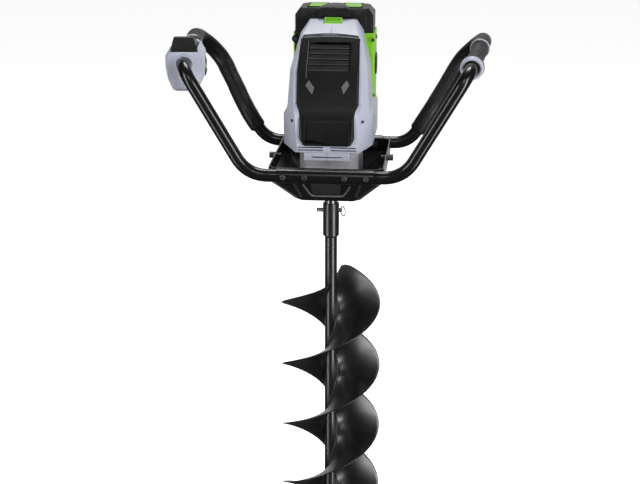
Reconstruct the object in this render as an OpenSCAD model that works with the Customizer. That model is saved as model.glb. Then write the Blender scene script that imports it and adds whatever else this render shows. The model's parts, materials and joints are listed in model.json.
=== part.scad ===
/* [Handle frame] */
// Height of the two crossbars above the hitch pin
bar_z = 106; // [100:1:112]
// Distance of the front crossbar in front of the auger axis
bar_front = 141; // [139:0.5:143]
// Distance of the rear crossbar behind the auger axis
bar_rear = 155; // [153:0.5:157]
// Outside diameter of the handle tubes
tube_d = 25.4; // [24:0.1:25.4]
// Wall of the handle tubes
tube_wall = 2; // [1.5:0.1:2.5]
// Outside diameter of the crossbar sleeves
sleeve_d = 28.6; // [28.2:0.1:29.2]
// Half length of the crossbar sleeves
sleeve_half = 94; // [92:1:98]
// Outside diameter of the foam pads
pad_d = 37; // [34:0.5:40]
// Outside diameter of the rubber grips
grip_d = 32; // [30:0.5:35]

/* [Bit] */
// Outside radius of the flights, an 8 inch bit
flight_r = 101.6; // [95:0.1:102]
// Rise of one flight in a full turn
flight_lead = 268.7; // [255:0.1:275]
// Thickness of the flight strip
flight_t = 2.2; // [1.6:0.1:3]
// How much the strip rises per millimetre outwards
flight_cup = 0.18; // [0.1:0.01:0.25]
// Diameter of the bit's tube and of the output spindle
shaft_d = 25; // [24:0.1:25]
// Outside diameter of the hitch coupler
coupler_d = 33; // [32:0.5:36]

/* [Powerhead] */
// Half width of the lower housing
low_w = 87; // [85:0.5:89]
// Wall of the plastic shells
shell_wall = 3; // [2.5:0.1:3.5]
// Half width of the battery above its bay
battery_w = 78; // [77.5:0.1:79]
// Height of the battery's top
battery_top = 399; // [395:1:402]

/* [Gears] */
// Teeth on both pinions
pinion_teeth = 12; // [12:4:12]
// Teeth on the first wheel
wheel_teeth = 48; // [48:4:48]
// Teeth on the output wheel
output_teeth = 60; // [60:4:60]
// Module of the first pair
first_module = 1.25; // [1.25:0.05:1.25]
// Module of the second pair
second_module = 1.5; // [1.5:0.05:1.5]

/* [Hidden] */
$fn = 48;

// Corners of the right handle tube, from the front sleeve over the grip to the rear sleeve
tube_path = [[8, -bar_front, bar_z], [151, -bar_front, bar_z], [272, -bar_front, bar_z + 205.5],
    [299, 185, bar_z + 216], [255, 225, bar_z + 168], [186, 148, bar_z + 58], [147, bar_rear, bar_z],
    [8, bar_rear, bar_z]];
// Length that each corner's bend takes from the straight tube beside it
tube_bite = [0, 40, 38, 36, 36, 32, 30, 0];
pad_bore = tube_d / 2 + 0.3;
grip_base = tube_path[2];
grip_dir = unit(tube_path[3] - tube_path[2]);
bolt_x = [-80, -38.4, 38.4, 80];
bolt_r = 3;
bolt_hole_r = 3.3;
flange_t = 2.5;
tray_z = bar_z - 64;
tray_t = 2.5;
gearbox_z = tray_z + tray_t;
plate_z = 97;
cover_z = 113;
motor_z = 141;
first_centre = first_module * (pinion_teeth + wheel_teeth) / 2;
second_centre = second_module * (pinion_teeth + output_teeth) / 2;
lay_y = second_centre;
motor_y = second_centre - first_centre;
shift = 0.4;
shaft_r = shaft_d / 2;
pin_r = 4;
pin_hole_r = 4.08;
slope = flight_lead / 360;
flight_start = 80;
flight_sweep = 972;
flight_zero = -201;
corner_r = 22;
flight_end = flight_start - flight_sweep;
bit_top = 15;
bit_bottom = -888;
seat_tilt = 28;
cup_angle = atan(flight_cup);
shell_z = 142;

function unit(v) = v / norm(v);
// Points of a path whose corners are rounded by parabolas
function rounded(p, bite, steps) = [for (i = [0:len(p) - 1])
    each (i == 0 || i == len(p) - 1) ? [p[i]] :
    let (a = p[i] + bite[i] * unit(p[i - 1] - p[i]), b = p[i] + bite[i] * unit(p[i + 1] - p[i]))
    [for (k = [0:steps]) let (t = k / steps) (1 - t) * (1 - t) * a + 2 * t * (1 - t) * p[i] + t * t * b]];
function tangents(p) = [for (i = [0:len(p) - 1])
    unit(p[min(i + 1, len(p) - 1)] - p[max(i - 1, 0)])];
function across(u, t) = unit(u - (u * t) * t);
// A direction across the path at each point, carried along without twist
function sides_of(t) = [for (i = 0, u = across([0, 0.3, 1], t[0]); i < len(t);
    i = i + 1, u = i < len(t) ? across(u, t[i]) : u) u];
function ring(p, t, u, r, n) = [for (k = [0:n - 1])
    p + r * (cos(360 * k / n) * u + sin(360 * k / n) * cross(t, u))];
// Closed round tube along a path, with n flat sides
module swept(p, r, n) {
    t = tangents(p);
    u = sides_of(t);
    last = len(p) - 1;
    points = [for (i = [0:last]) each ring(p[i], t[i], u[i], r, n)];
    walls = [for (i = [0:last - 1], k = [0:n - 1]) let (a = i * n + k, b = i * n + (k + 1) % n)
        each [[a, b + n, b], [a, a + n, b + n]]];
    ends = [[for (k = [0:n - 1]) k], [for (k = [n - 1:-1:0]) last * n + k]];
    polyhedron(points, concat(walls, ends));
}
// Closed solid through a list of level sections, each [z, [[x, y], ...]]
module loft(s) {
    n = len(s[0][1]);
    last = len(s) - 1;
    points = [for (i = [0:last], q = s[i][1]) [q.x, q.y, s[i][0]]];
    walls = [for (i = [0:last - 1], k = [0:n - 1]) let (a = i * n + k, b = i * n + (k + 1) % n)
        each [[a, b + n, b], [a, a + n, b + n]]];
    ends = [[for (k = [0:n - 1]) k], [for (k = [n - 1:-1:0]) last * n + k]];
    polyhedron(points, concat(walls, ends));
}
// Turns the x, y and z axes onto u, v and w, and moves the origin to p
module place(u, v, w, p) {
    multmatrix([[u.x, v.x, w.x, p.x], [u.y, v.y, w.y, p.y], [u.z, v.z, w.z, p.z], [0, 0, 0, 1]]) children();
}
// Stands its children on the right grip's axis, s along it from the front corner
module on_grip(s) {
    u = across([1, 0, 0], grip_dir);
    place(u, cross(grip_dir, u), grip_dir, grip_base + s * grip_dir) children();
}
module left() { mirror([1, 0, 0]) children(); }
module tube_ring(r_out, r_in, h) {
    difference() {
        cylinder(h = h, r = r_out);
        translate([0, 0, -1]) cylinder(h = h + 2, r = r_in);
    }
}
module along_y(p) { translate(p) rotate([-90, 0, 0]) children(); }
module along_x(p) { translate(p) rotate([0, 90, 0]) children(); }

// ---- Handle frame ----
module bolt_holes(r) {
    for (x = bolt_x) {
        along_y([x, -bar_front - 20, bar_z]) cylinder(h = 40, r = r);
        along_y([x, bar_rear - 20, bar_z]) cylinder(h = 40, r = r);
    }
}
module handle_tube() {
    outer = rounded(tube_path, tube_bite, 5);
    inner = concat([outer[0] - [1, 0, 0]], [for (i = [1:len(outer) - 2]) outer[i]],
        [outer[len(outer) - 1] - [1, 0, 0]]);
    difference() {
        swept(outer, tube_d / 2, 16);
        swept(inner, tube_d / 2 - tube_wall, 16);
        bolt_holes(bolt_hole_r);
    }
}
module tube_right() { color("#181819") handle_tube(); }
module tube_left() { color("#181819") left() handle_tube(); }
module sleeve(y) {
    difference() {
        along_x([-sleeve_half, y, bar_z]) tube_ring(sleeve_d / 2, tube_d / 2 + 0.1, 2 * sleeve_half);
        bolt_holes(bolt_hole_r);
    }
}
module front_sleeve() { color("#1c1c1d") sleeve(-bar_front); }
module rear_sleeve() { color("#1c1c1d") sleeve(bar_rear); }
// Button head screw along +z with its head's seat at z = 0, and its nut
module frame_bolt(grip_len) {
    difference() {
        translate([0, 0, -3.2]) union() {
            cylinder(h = 1.4, r1 = 3.8, r2 = 5.4);
            translate([0, 0, 1.4]) cylinder(h = 1.8, r = 5.4);
        }
        translate([0, 0, -4]) cylinder(h = 3, r = 2, $fn = 6);
    }
    cylinder(h = grip_len + 6, r = bolt_r);
    translate([0, 0, grip_len]) difference() {
        cylinder(h = 5, r = 5.6, $fn = 6);
        translate([0, 0, -1]) cylinder(h = 7, r = bolt_r + 0.05);
    }
}
module side_bolt() {
    cylinder(h = 22, r = 4);
    translate([0, 0, 12.3]) cylinder(h = 12, r = 6.5);
}
module frame_bolts() {
    color("#2b2b2d") {
        for (x = bolt_x) {
            along_y([x, -bar_front - sleeve_d / 2, bar_z]) frame_bolt(sleeve_d + 0.3 + flange_t);
            translate([x, bar_rear + sleeve_d / 2, bar_z]) rotate([90, 0, 0])
                frame_bolt(sleeve_d + 0.3 + flange_t);
        }
        along_x([100, 0, bar_z + 6]) side_bolt();
        left() along_x([100, 0, bar_z + 6]) side_bolt();
    }
}
function box_section(w, y0, y1, c) = [[-w + c, y0], [w - c, y0], [w, y0 + c], [w, y1 - c], [w - c, y1],
    [-w + c, y1], [-w, y1 - c], [-w, y0 + c]];
function tray_levels(in) = let (y0 = -bar_front + sleeve_d / 2 + 0.3, y1 = bar_rear - sleeve_d / 2 - 0.3)
    [[tray_z + in, box_section(64 - in, -84 + in, 108 - in, 14)],
    [tray_z + 28 + in, box_section(92 - in, -108 + in, 124 - in, 12)],
    [bar_z - 16, box_section(112 - in, y0 + in, y1 - in, 10)],
    [bar_z + 12 + in, box_section(112 - in, y0 + in, y1 - in, 10)]];
gearbox_bolts = [[-36, -38], [36, -38], [-36, 72], [36, 72]];
module base_tray() {
    color("#1b1b1c") difference() {
        loft(tray_levels(0));
        loft(tray_levels(tray_t));
        translate([0, 0, tray_z - 1]) cylinder(h = 6, r = 24);
        for (q = gearbox_bolts) translate([q.x, q.y, tray_z - 1]) cylinder(h = 6, r = 4.2);
        for (m = [0, 1]) mirror([m, 0, 0]) along_x([105, 0, bar_z + 6]) cylinder(h = 12, r = 4.2);
        bolt_holes(bolt_hole_r);
    }
}
module pad_path_right() {
    p = rounded(tube_path, tube_bite, 5);
    cut_top = grip_base + 231 * grip_dir;
    cut_low = tube_path[5] + 0.51 * (tube_path[6] - tube_path[5]);
    // The bends at corners 3, 4 and 5 carry six points each and start at the fourteenth point
    swept_pad(concat([cut_top], [for (i = [13:30]) p[i]], [cut_low]));
}
module swept_pad(p) {
    last = len(p) - 1;
    inner = concat([p[0] - 2 * unit(p[1] - p[0])], [for (i = [1:last - 1]) p[i]],
        [p[last] + 2 * unit(p[last] - p[last - 1])]);
    difference() {
        swept(p, pad_d / 2, 16);
        swept(inner, pad_bore, 16);
    }
}
module pad_right() { color("#222224") pad_path_right(); }
module pad_left() { color("#222224") left() pad_path_right(); }

// ---- Grips and throttle ----
grip_to = 218;
module grip(from, flange_r) {
    on_grip(from) difference() {
        union() {
            cylinder(h = 4, r = flange_r);
            cylinder(h = grip_to - from, r = grip_d / 2);
        }
        translate([0, 0, -1]) cylinder(h = grip_to - from + 2, r = tube_d / 2 + 0.1);
    }
}
module grip_right() { color("#3a3a3d") grip(54, 23.5); }
module grip_left() { color("#3a3a3d") left() grip(118, 19.2); }
module collar_right() {
    color("#b4b6c4") on_grip(41) difference() {
        union() {
            cylinder(h = 4, r1 = 20, r2 = 22.5);
            translate([0, 0, 4]) cylinder(h = 9, r = 22.5);
        }
        translate([0, 0, -0.1]) cylinder(h = 3.2, r1 = 17.5, r2 = 14.5);
        translate([0, 0, -1]) cylinder(h = 15, r = tube_d / 2 + 0.1);
    }
}
module rear_collar() {
    on_grip(grip_to) difference() {
        cylinder(h = 11.5, r = 20);
        translate([0, 0, -1]) cylinder(h = 14, r = tube_d / 2 + 0.1);
        translate([0, 0, 9.5]) cylinder(h = 3, r1 = 15.5, r2 = 18);
    }
}
module rear_collars() { color("#c9cad4") { rear_collar(); left() rear_collar(); } }
// Throttle housing, in its own frame: x inwards from the left grip, y back along it, z up
throttle_at = [-275.6, -98, bar_z + 206.9];
throttle_lean = atan(grip_dir.x / grip_dir.y);
module at_throttle(v) { translate(throttle_at) rotate([0, 0, throttle_lean]) translate(v) children(); }
throttle_depth = 72;
rocker_z = -10;
throttle_outline = [[-16, -55], [14, -55], [26, -48], [38, -26], [40, -6], [39, 15], [29, 31], [22, 35],
    [-24, 35], [-30, 26], [-37, 14], [-37, -8], [-33, -31], [-24, -52]];
function inset(p, k, cx, cz) = [for (q = p) [cx + (q.x - cx) * k, cz + (q.y - cz) * k]];
function narrowed(p, k) = [for (q = p) [1 + (q.x - 1) * k, q.y]];
module throttle_body() {
    // Drafted front rim, then a body that narrows towards the back
    at_throttle([0, 0, 0]) rotate([90, 0, 0]) mirror([0, 0, 1]) difference() {
        loft([[0, inset(throttle_outline, 0.9, 1, -8)], [7, throttle_outline],
            [throttle_depth, narrowed(throttle_outline, 0.92)]]);
        loft([[5, inset(throttle_outline, 0.88, 1, -8)],
            [throttle_depth - 3, narrowed(inset(throttle_outline, 0.88, 1, -8), 0.93)]]);
    }
}
module throttle_cuts() {
    left() on_grip(-10) cylinder(h = 150, r = tube_d / 2 + 0.15);
    left() on_grip(112) cylinder(h = 150, r = 20.8);
    // Window and trunnion holes of the rocker
    at_throttle([30.9, 20.5, rocker_z - 18.5]) cube([22, 17, 37]);
    at_throttle([35, 16.9, rocker_z]) along_y([0, 0, 0]) cylinder(h = 22.2, r = 1.56);
    // Slot of the trigger's hub, and the hole of its pin
    at_throttle(trigger_at + [-7, -5.5, -9]) cube([14, 30, 14.5]);
    at_throttle(trigger_at - [trigger_pin_half + 0.3, 0, 0]) along_x([0, 0, 0])
        cylinder(h = 2 * trigger_pin_half + 0.6, r = 2.03);
    // Seat of the cap
    at_throttle([-26.5, -1, 22]) cube([52.5, 58.5, 40]);
}
module throttle_shell(side) {
    difference() {
        throttle_body();
        at_throttle([side > 0 ? -61 : 1, -5, -80]) cube([62, throttle_depth + 20, 160]);
        throttle_cuts();
    }
}
module throttle_shell_outer() { color("#b9bbc9") throttle_shell(-1); }
module throttle_shell_inner() {
    color("#b9bbc9") {
        throttle_shell(1);
        // Ears of the trigger's pin, and the ledge of its spring
        for (x = [-trigger_pin_half, trigger_pin_half - pin_ear_t]) difference() {
            at_throttle(trigger_at + [x, -5.4, -7]) cube([pin_ear_t, 12.5, 11]);
            at_throttle(trigger_at + [x - 1, 0, 0]) along_x([0, 0, 0]) cylinder(h = pin_ear_t + 2, r = 2.03);
        }
        at_throttle(trigger_at + [0, 8, -15]) cube([6, 9.5, 2.35]);
    }
}
cap_foot = [[-26, 0.5], [25.5, 0.5], [25.5, 57], [-26, 57]];
cap_crown = [[-20, 4.5], [17.5, 4.5], [17.5, 16], [-20, 16]];
module throttle_cap() {
    // Its crown lies at the front, and the top falls away to the back
    color("#202022") at_throttle([0, 0, 0]) difference() {
        loft([[22.3, cap_foot], [28, cap_foot], [50, cap_crown]]);
        translate([-1.5, 31, 34]) cylinder(h = 20, r = 7.2);
    }
}
module lock_button() {
    color("#1a1a1b") at_throttle([-1.5, 31, 37.5]) {
        cylinder(h = 6.5, r = 6.9);
        translate([0, 0, 6.5]) cylinder(h = 1, r1 = 6.9, r2 = 5.9);
    }
}
module rocker_switch() {
    color("#1a1a1b") {
        at_throttle([35, 17, rocker_z]) along_y([0, 0, 0]) cylinder(h = 22, r = 1.5);
        at_throttle([36, 21.5, rocker_z]) along_y([0, 0, 0]) linear_extrude(15)
            polygon([[-2, -16], [3.5, -16.5], [5, -9], [4, 0], [5, 9], [3.5, 16.5], [-2, 16]]);
    }
}
// Pivot of the throttle paddle
trigger_at = [19.2, 63, 24];
trigger_pin_half = 8.7;
pin_ear_t = 2.9;
module trigger() {
    color("#1a1a1b") at_throttle(trigger_at) difference() {
        rotate([90, 0, 90]) translate([0, 0, -5.2]) linear_extrude(10.4)
            polygon([[-4, -4], [4, -5], [20, -4], [40, -2], [62, 4], [64, 8], [58, 8.5], [38, 3.5],
                [20, 3], [4, 5], [-4, 4]]);
        rotate([0, 90, 0]) translate([0, 0, -7]) cylinder(h = 14, r = 2.05);
    }
}
module trigger_pin() {
    color("#a0a2a6") at_throttle(trigger_at - [trigger_pin_half, 0, 0]) along_x([0, 0, 0])
        cylinder(h = 2 * trigger_pin_half, r = 2);
}
module coil(r, wire, h, turns) {
    // Spring drawn as closed round turns
    for (k = [0:turns]) translate([0, 0, wire + k * (h - 2 * wire) / turns])
        rotate_extrude($fn = 32) translate([r, 0]) circle(r = wire, $fn = 16);
}
module trigger_spring() {
    color("#a0a2a6") at_throttle(trigger_at + [2.6, 12.5, -12.6]) coil(2.7, 0.5, 7.9, 5);
}
module throttle_switch() {
    color("#303033") at_throttle([6, 12, 14.8]) cube([18, 20, 7]);
    color("#303033") at_throttle([19, 20, rocker_z - 14]) cube([10, 17, 28]);
}

// ---- Powerhead shells ----
// Level section of the housing: front half width wf, full half width w, front chamfer c deep
function body_section(wf, w, yf, yr, c) =
    let (half = (yr - yf) / 2, front = min(c, half - 1), rear = min(8, half))
    [[0, yf], [wf, yf], [w, yf + front], [w, yr - rear], [w - rear, yr], [0, yr]];
low_levels = [[142, 62, 65, -96, 90, 12], [153, 58, low_w, -101, 98, 34], [214, 62, low_w, -103, 98, 34],
    [224, 64, 80, -98, 94, 22]];
high_levels = [[224, 64, 80, -98, 56, 22], [236, 66, 79, -85, 56, 16], [298, 66, 75, -72, 56, 12],
    [344, 59, 64, -26, 56, 10], [360, 54, 60, -8, 56, 12], [379, 42, 47, 42, 56, 5]];
function body_levels(v, in) = [for (q = v)
    [q[0], body_section(q[1] - in, q[2] - in, q[3] + in, q[4] - in, q[5])]];
cover_levels = [[158, -110, 46], [170, -111, 53], [208, -109, 54], [235, -91, 61.5], [298, -78, 61.5],
    [350, -27, 58], [357, -17, 54]];
cover_depth = 9;
module half_body() {
    difference() {
        union() {
            loft(body_levels(low_levels, 0));
            loft(body_levels(high_levels, 0));
            translate([0, -94, 126]) cube([44.7, 30, 17]);
            along_x([low_w - 1, -8, 184]) cylinder(h = 3.5, r1 = 24, r2 = 20);
        }
        loft([for (q = body_levels(low_levels, shell_wall)) [q[0] == 142 ? 145 : q[0] + 0.01, q[1]]]);
        loft([for (q = body_levels(high_levels, shell_wall)) [q[0] == 379 ? 376 : q[0] - 0.01, q[1]]]);
        translate([0, motor_y, 130]) cylinder(h = 30, r = 43);
        translate([-1, -91, 120]) cube([42.7, 30, 20]);
        // Intake slots along the bottom edge
        for (z = [146, 152]) translate([7, -112, z]) cube([50, 30, 2.4]);
        translate([-1, -100, 131]) cube([31, 20, 2.6]);
        // Seat of the front cover
        cover_block(0.4, 12);
        // Pocket of the battery latch
        translate([-1, 27.5, 357.5]) cube([19.5, 40, 30]);
        // Screw pit
        along_y([68.5, -98, 204]) cylinder(h = 26, r = 3);
    }
}
// Level section of the cover: bevelled sides cover_depth deep, then straight back to depth
function cover_section(w, y, depth) = let (side = [[w - 4, y], [w, y + cover_depth],
    each depth > cover_depth ? [[w, y + depth]] : []], n = len(side))
    concat(side, [for (i = [n - 1:-1:0]) [-side[i].x, side[i].y]]);
module cover_block(grow, depth) {
    loft([for (q = cover_levels) [q[0] + (q[0] == 158 ? -grow : q[0] == 357 ? grow : 0),
        cover_section(q[2] + grow, q[1], depth)]]);
}
module shell_right() { color("#b9bbc9") half_body(); }
module shell_left() { color("#b9bbc9") left() half_body(); }
module front_cover() {
    color("#1a1a1b") difference() {
        cover_block(0, cover_depth);
        // Opening of the louvre panel
        louvre_block(40.3, 14, 30, 0.3);
        // Opening of the lower grille
        translate([-42.3, -120, 163]) cube([84.6, 40, 43]);
    }
}
louvre_levels = [[300, -76], [346, -31]];
// Slanted block behind the cover's face, from in_front to behind that face
module louvre_block(half, in_front, behind, grow) {
    loft([for (k = [0, 1]) let (q = louvre_levels[k]) [q[0] + (2 * k - 1) * grow,
        [[-half, q[1] - in_front], [half, q[1] - in_front], [half, q[1] + behind], [-half, q[1] + behind]]]]);
}
module louvre_panel() {
    color("#161617") difference() {
        louvre_block(40, -3, 9, 0);
        for (k = [0:4]) translate([-37, -120, 303.5 + 8.6 * k]) cube([74, 130, 3]);
    }
}
module lower_grille() {
    color("#161617") difference() {
        translate([-42, -107.5, 163.3]) cube([84, 5, 42.4]);
        for (k = [-19:19]) translate([2.1 * k - 0.5, -109, 166]) cube([1, 2.3, 37]);
    }
}
bay_z = 197;
module bay_half() {
    difference() {
        loft([[bay_z, body_section(74, 76, 56.3, 132, 2)], [bay_z + 22, body_section(79, 81, 56.3, 140, 2)],
            [351, body_section(79, 81, 56.3, 140, 2)]]);
        loft([[bay_z + 3, body_section(71, 73, 50, 129, 2)],
            [bay_z + 23, body_section(77, 78.2, 50, 137.4, 2)], [352, body_section(77, 78.2, 50, 137.4, 2)]]);
        translate([-1, 50, bay_z - 1]) cube([120, 48.7, 28.5]);
    }
}
module bay_shell_right() { color("#8be01c") bay_half(); }
module bay_shell_left() { color("#8be01c") left() bay_half(); }
module battery_dock() {
    color("#202022") difference() {
        translate([0, 0, 236]) linear_extrude(24) polygon(half_to_full(body_section(76.8, 78, 57, 137.2, 1)));
        translate([-72, 61, 232]) cube([144, 68, 24]);
    }
    color("#c98a4b") for (x = [-30, -10, 10, 30]) translate([x - 1.5, 90, 260]) cube([3, 16, 5]);
}
module side_vent() {
    along_x([81, 98, 284]) difference() {
        cylinder(h = 2.6, r = 22);
        for (k = [-2:2]) translate([-20, 7 * k - 1.6, 1]) cube([40, 3.2, 3]);
    }
}
module side_vents() { color("#1c1c1d") { side_vent(); left() side_vent(); } }
module shell_screw(r, h) {
    difference() {
        cylinder(h = h, r = r);
        translate([0, 0, -1]) cylinder(h = 2.2, r = 1.2, $fn = 6);
    }
}
module shell_screws() {
    color("#3c3c40") for (m = [0, 1]) mirror([m, 0, 0]) {
        along_y([68.5, -88, 204]) shell_screw(2.8, 14);
        along_x([81.2, 94, 338]) mirror([0, 0, 1]) translate([0, 0, -3]) shell_screw(4.5, 3);
    }
}
module battery_latch() {
    color("#7ed321") rotate([90, 0, 90]) translate([0, 0, -18]) linear_extrude(36)
        polygon([[28.5, 362], [49.8, 362], [49.8, 382], [46, 382.5], [34, 375], [28.5, 371.5]]);
}
module battery_case() {
    color("#1d1d1f") difference() {
        union() {
            loft([[266, half_to_full(body_section(75, 76.5, 57.5, 136.6, 1.5))],
                [351, half_to_full(body_section(75, 76.5, 57.5, 136.6, 1.5))]]);
            loft([[351.4, half_to_full(body_section(75, battery_w, 57.5, 139.5, 3))],
                [386, half_to_full(body_section(74, battery_w, 57.5, 139.5, 4))],
                [battery_top, half_to_full(body_section(62, 68, 62, 132, 6))]]);
            translate([0, 0, 350]) linear_extrude(3)
                polygon(half_to_full(body_section(74, 75.5, 58.5, 135.6, 1.5)));
            translate([-30.5, 50, 384]) cube([61, 14, 16]);
        }
        translate([-72.5, 61, 269]) cube([145, 72, 96]);
        for (x = [-30, -10, 10, 30]) translate([x - 2, 88, 265]) cube([4, 20, 5]);
    }
}
function half_to_full(h) = let (n = len(h)) concat([for (i = [1:n - 2]) h[i]],
    [for (i = [n - 2:-1:1]) [-h[i].x, h[i].y]]);
module battery_cells() {
    color("#3f7fbf") for (i = [-2.5:2.5], j = [-1:1]) translate([23 * i, 97 + 22.5 * j, 276])
        cylinder(h = 70, r = 10.5, $fn = 32);
}
module battery_inserts() {
    color("#8be01c") for (m = [0, 1]) mirror([m, 0, 0]) translate([0, 0, battery_top + 0.05])
        loft([[0, [[17, 72], [53, 72], [53, 118], [17, 118]]],
            [2.4, [[20, 75], [50, 75], [50, 115], [20, 115]]]]);
}
module controller() {
    color("#1f6b3a") translate([-48, -56, 236]) cube([96, 1.6, 70]);
    color("#9ea1a6") difference() {
        translate([-48, -66, 236]) cube([96, 9.9, 56]);
        for (k = [-5:5]) translate([8.4 * k - 2.5, -67, 235]) cube([5, 7, 60]);
    }
    color("#26262a") for (x = [-33, -11, 11, 33]) along_y([x, -54.3, 262]) cylinder(h = 26, r = 8);
}

// ---- Motor ----
module at_motor(z) { translate([0, motor_y, z]) children(); }
module at_lay(z) { translate([0, lay_y, z]) children(); }
module motor_case() {
    color("#8f9297") at_motor(motor_z) difference() {
        cylinder(h = 72, r = 42);
        translate([0, 0, 10]) cylinder(h = 51, r = 39);
        translate([0, 0, -1]) cylinder(h = 80, r = 10);
        translate([0, 0, 1]) cylinder(h = 10, r = 13);
        translate([0, 0, 60]) cylinder(h = 10, r = 13);
        for (a = [0:60:300]) rotate([0, 0, a + 30]) translate([27, -4, 58]) cube([9, 8, 20]);
    }
}
module motor_stator() {
    color("#5c5e63") at_motor(152) linear_extrude(46) difference() {
        circle(r = 38.9);
        circle(r = 23);
        for (a = [0:30:330]) rotate(a) translate([25.5, -3.5]) square([9, 7]);
        for (a = [0:30:330]) rotate(a) translate([20, -1]) square([7, 2]);
    }
}
module motor_windings() {
    color("#b8733a") at_motor(0) for (a = [0:30:330]) rotate([0, 0, a])
        translate([25.8, -3.2, 151.6]) cube([8.4, 6.4, 47]);
}
module motor_rotor() {
    color("#2f3033") at_motor(154) difference() {
        cylinder(h = 42, r = 22.3);
        translate([0, 0, -1]) cylinder(h = 44, r = 5.02);
    }
    color("#c3c5c9") at_motor(132) cylinder(h = 92, r = 5);
    color("#c3c5c9") at_motor(114.5) spur(first_module, pinion_teeth, shift, 17.5, 0);
}
module cooling_fan() {
    color("#2a2a2c") at_motor(215) difference() {
        union() {
            cylinder(h = 9, r = 11);
            cylinder(h = 1.5, r = 35);
            for (a = [0:40:320]) rotate([0, 0, a]) translate([10, -0.8, 1]) cube([24, 1.6, 7.6]);
        }
        translate([0, 0, -1]) cylinder(h = 12, r = 5.02);
    }
}
// Ball bearing: two rings and the balls between them
module bearing(bore, outer, h) {
    mid = (bore + outer) / 2;
    gap = (outer - bore) * 0.28;
    balls = floor(180 / asin(gap * 1.35 / mid));
    tube_ring(outer, mid + gap / 2 + 0.8, h);
    tube_ring(mid - gap / 2 - 0.8, bore, h);
    for (k = [0:balls - 1]) rotate([0, 0, 360 * k / balls]) translate([mid, 0, h / 2])
        sphere(r = gap / 2 + 0.6, $fn = 24);
}
module motor_bearings() {
    color("#c3c5c9") { at_motor(142.5) bearing(5.02, 12.97, 8); at_motor(202.5) bearing(5.02, 12.97, 8); }
}

// ---- Gearbox ----
// Involute tooth flanks at radius r, as half tooth angles in degrees
function inv(a) = tan(a) - a * PI / 180;
function half_tooth(m, z, x, backlash, r) = let (base = m * z / 2 * cos(20), pitch = m * z / 2,
    rr = max(r, base), at = acos(base / rr))
    (180 / PI) * ((m * (PI / 2 + 2 * x * tan(20)) - backlash) / (2 * pitch) + inv(20) - inv(at));
function tooth(m, z, x, a) = let (base = m * z / 2 * cos(20), tip = m * (z / 2 + 1 + x),
    root = m * (z / 2 - 1.25 + x), low = max(root, base), flank = [for (k = [0:3]) low + (tip - low) * k / 3],
    rs = root < base ? concat([root], flank) : flank)
    concat([for (r = rs) let (h = a - half_tooth(m, z, x, 0.14, r)) [r * cos(h), r * sin(h)]],
    [for (k = [len(rs) - 1:-1:0]) let (r = rs[k], h = a + half_tooth(m, z, x, 0.14, r))
        [r * cos(h), r * sin(h)]]);
module spur(m, z, x, h, turn) {
    linear_extrude(h) polygon([for (k = [0:z - 1]) each tooth(m, z, x, turn + 360 * k / z)]);
}
module gearbox_block(in, h) {
    linear_extrude(h) polygon(box_section(58 - in, -60 + in, 94 - in, 14));
}
gearbox_corners = [[-52, -48], [52, -48], [-52, 82], [52, 82]];
// The housing's lower part narrows so that it stands inside the tray
function housing_levels(in, up) = [[gearbox_z + up, box_section(46 - in, -50 + in, 84 - in, 14)],
    [gearbox_z + 18 + up / 2, box_section(58 - in, -60 + in, 94 - in, 14)],
    [plate_z + (in > 0 ? 1 : 0), box_section(58 - in, -60 + in, 94 - in, 14)]];
module gearbox_housing() {
    color("#a4a6aa") difference() {
        union() {
            difference() {
                loft(housing_levels(0, 0));
                loft(housing_levels(5, 6));
            }
            translate([0, 0, gearbox_z]) cylinder(h = 25.5, r = 32);
            at_lay(gearbox_z) cylinder(h = 22.5, r = 18);
            for (q = gearbox_corners) translate([q.x, q.y, 68]) cylinder(h = plate_z - 68, r = 5);
        }
        translate([0, 0, gearbox_z - 1]) cylinder(h = 40, r = 14);
        translate([0, 0, gearbox_z + 1.5]) cylinder(h = 7.5, r = 20.99);
        translate([0, 0, gearbox_z + 9.5]) cylinder(h = 20, r = 26);
        at_lay(gearbox_z + 13.5) cylinder(h = 20, r = 14);
        at_lay(gearbox_z + 6) cylinder(h = 20, r = 9);
        for (q = gearbox_corners) translate([q.x, q.y, plate_z - 20]) cylinder(h = 30, r = 2.55);
        for (q = gearbox_bolts) translate([q.x, q.y, gearbox_z - 1]) cylinder(h = 5.5, r = 4.05);
    }
}
module bearing_plate() {
    color("#a4a6aa") difference() {
        translate([0, 0, plate_z]) gearbox_block(0, cover_z - plate_z);
        translate([0, 0, plate_z - 1]) cylinder(h = 13, r = 21);
        translate([0, 0, plate_z - 1]) cylinder(h = 30, r = 14);
        at_lay(plate_z + 3) cylinder(h = 20, r = 16);
        at_lay(plate_z - 1) cylinder(h = 30, r = 12.5);
        for (q = gearbox_corners) translate([q.x, q.y, plate_z - 1]) cylinder(h = 30, r = 2.8);
    }
}
module gearbox_cover() {
    color("#a4a6aa") difference() {
        translate([0, 0, cover_z]) gearbox_block(0, 28);
        difference() {
            translate([0, 0, cover_z - 1]) gearbox_block(5, 19);
            for (q = gearbox_corners) translate([q.x, q.y, cover_z - 2]) cylinder(h = 22, r = 5);
        }
        at_motor(cover_z) cylinder(h = 40, r = 9.6);
        for (q = gearbox_corners) translate([q.x, q.y, cover_z - 1]) {
            cylinder(h = 40, r = 2.8);
            translate([0, 0, 24.5]) cylinder(h = 10, r = 4.8);
        }
    }
}
module gearbox_screws() {
    color("#3c3c40") for (q = gearbox_corners) translate([q.x, q.y, plate_z - 14]) {
        cylinder(h = 54, r = 2.5);
        translate([0, 0, 53.6]) cylinder(h = 4, r = 4.4);
    }
    color("#3c3c40") for (q = gearbox_bolts) translate([q.x, q.y, tray_z - 5.05]) {
        cylinder(h = 5, r = 7, $fn = 6);
        cylinder(h = 11.5, r = 4);
    }
}
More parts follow.
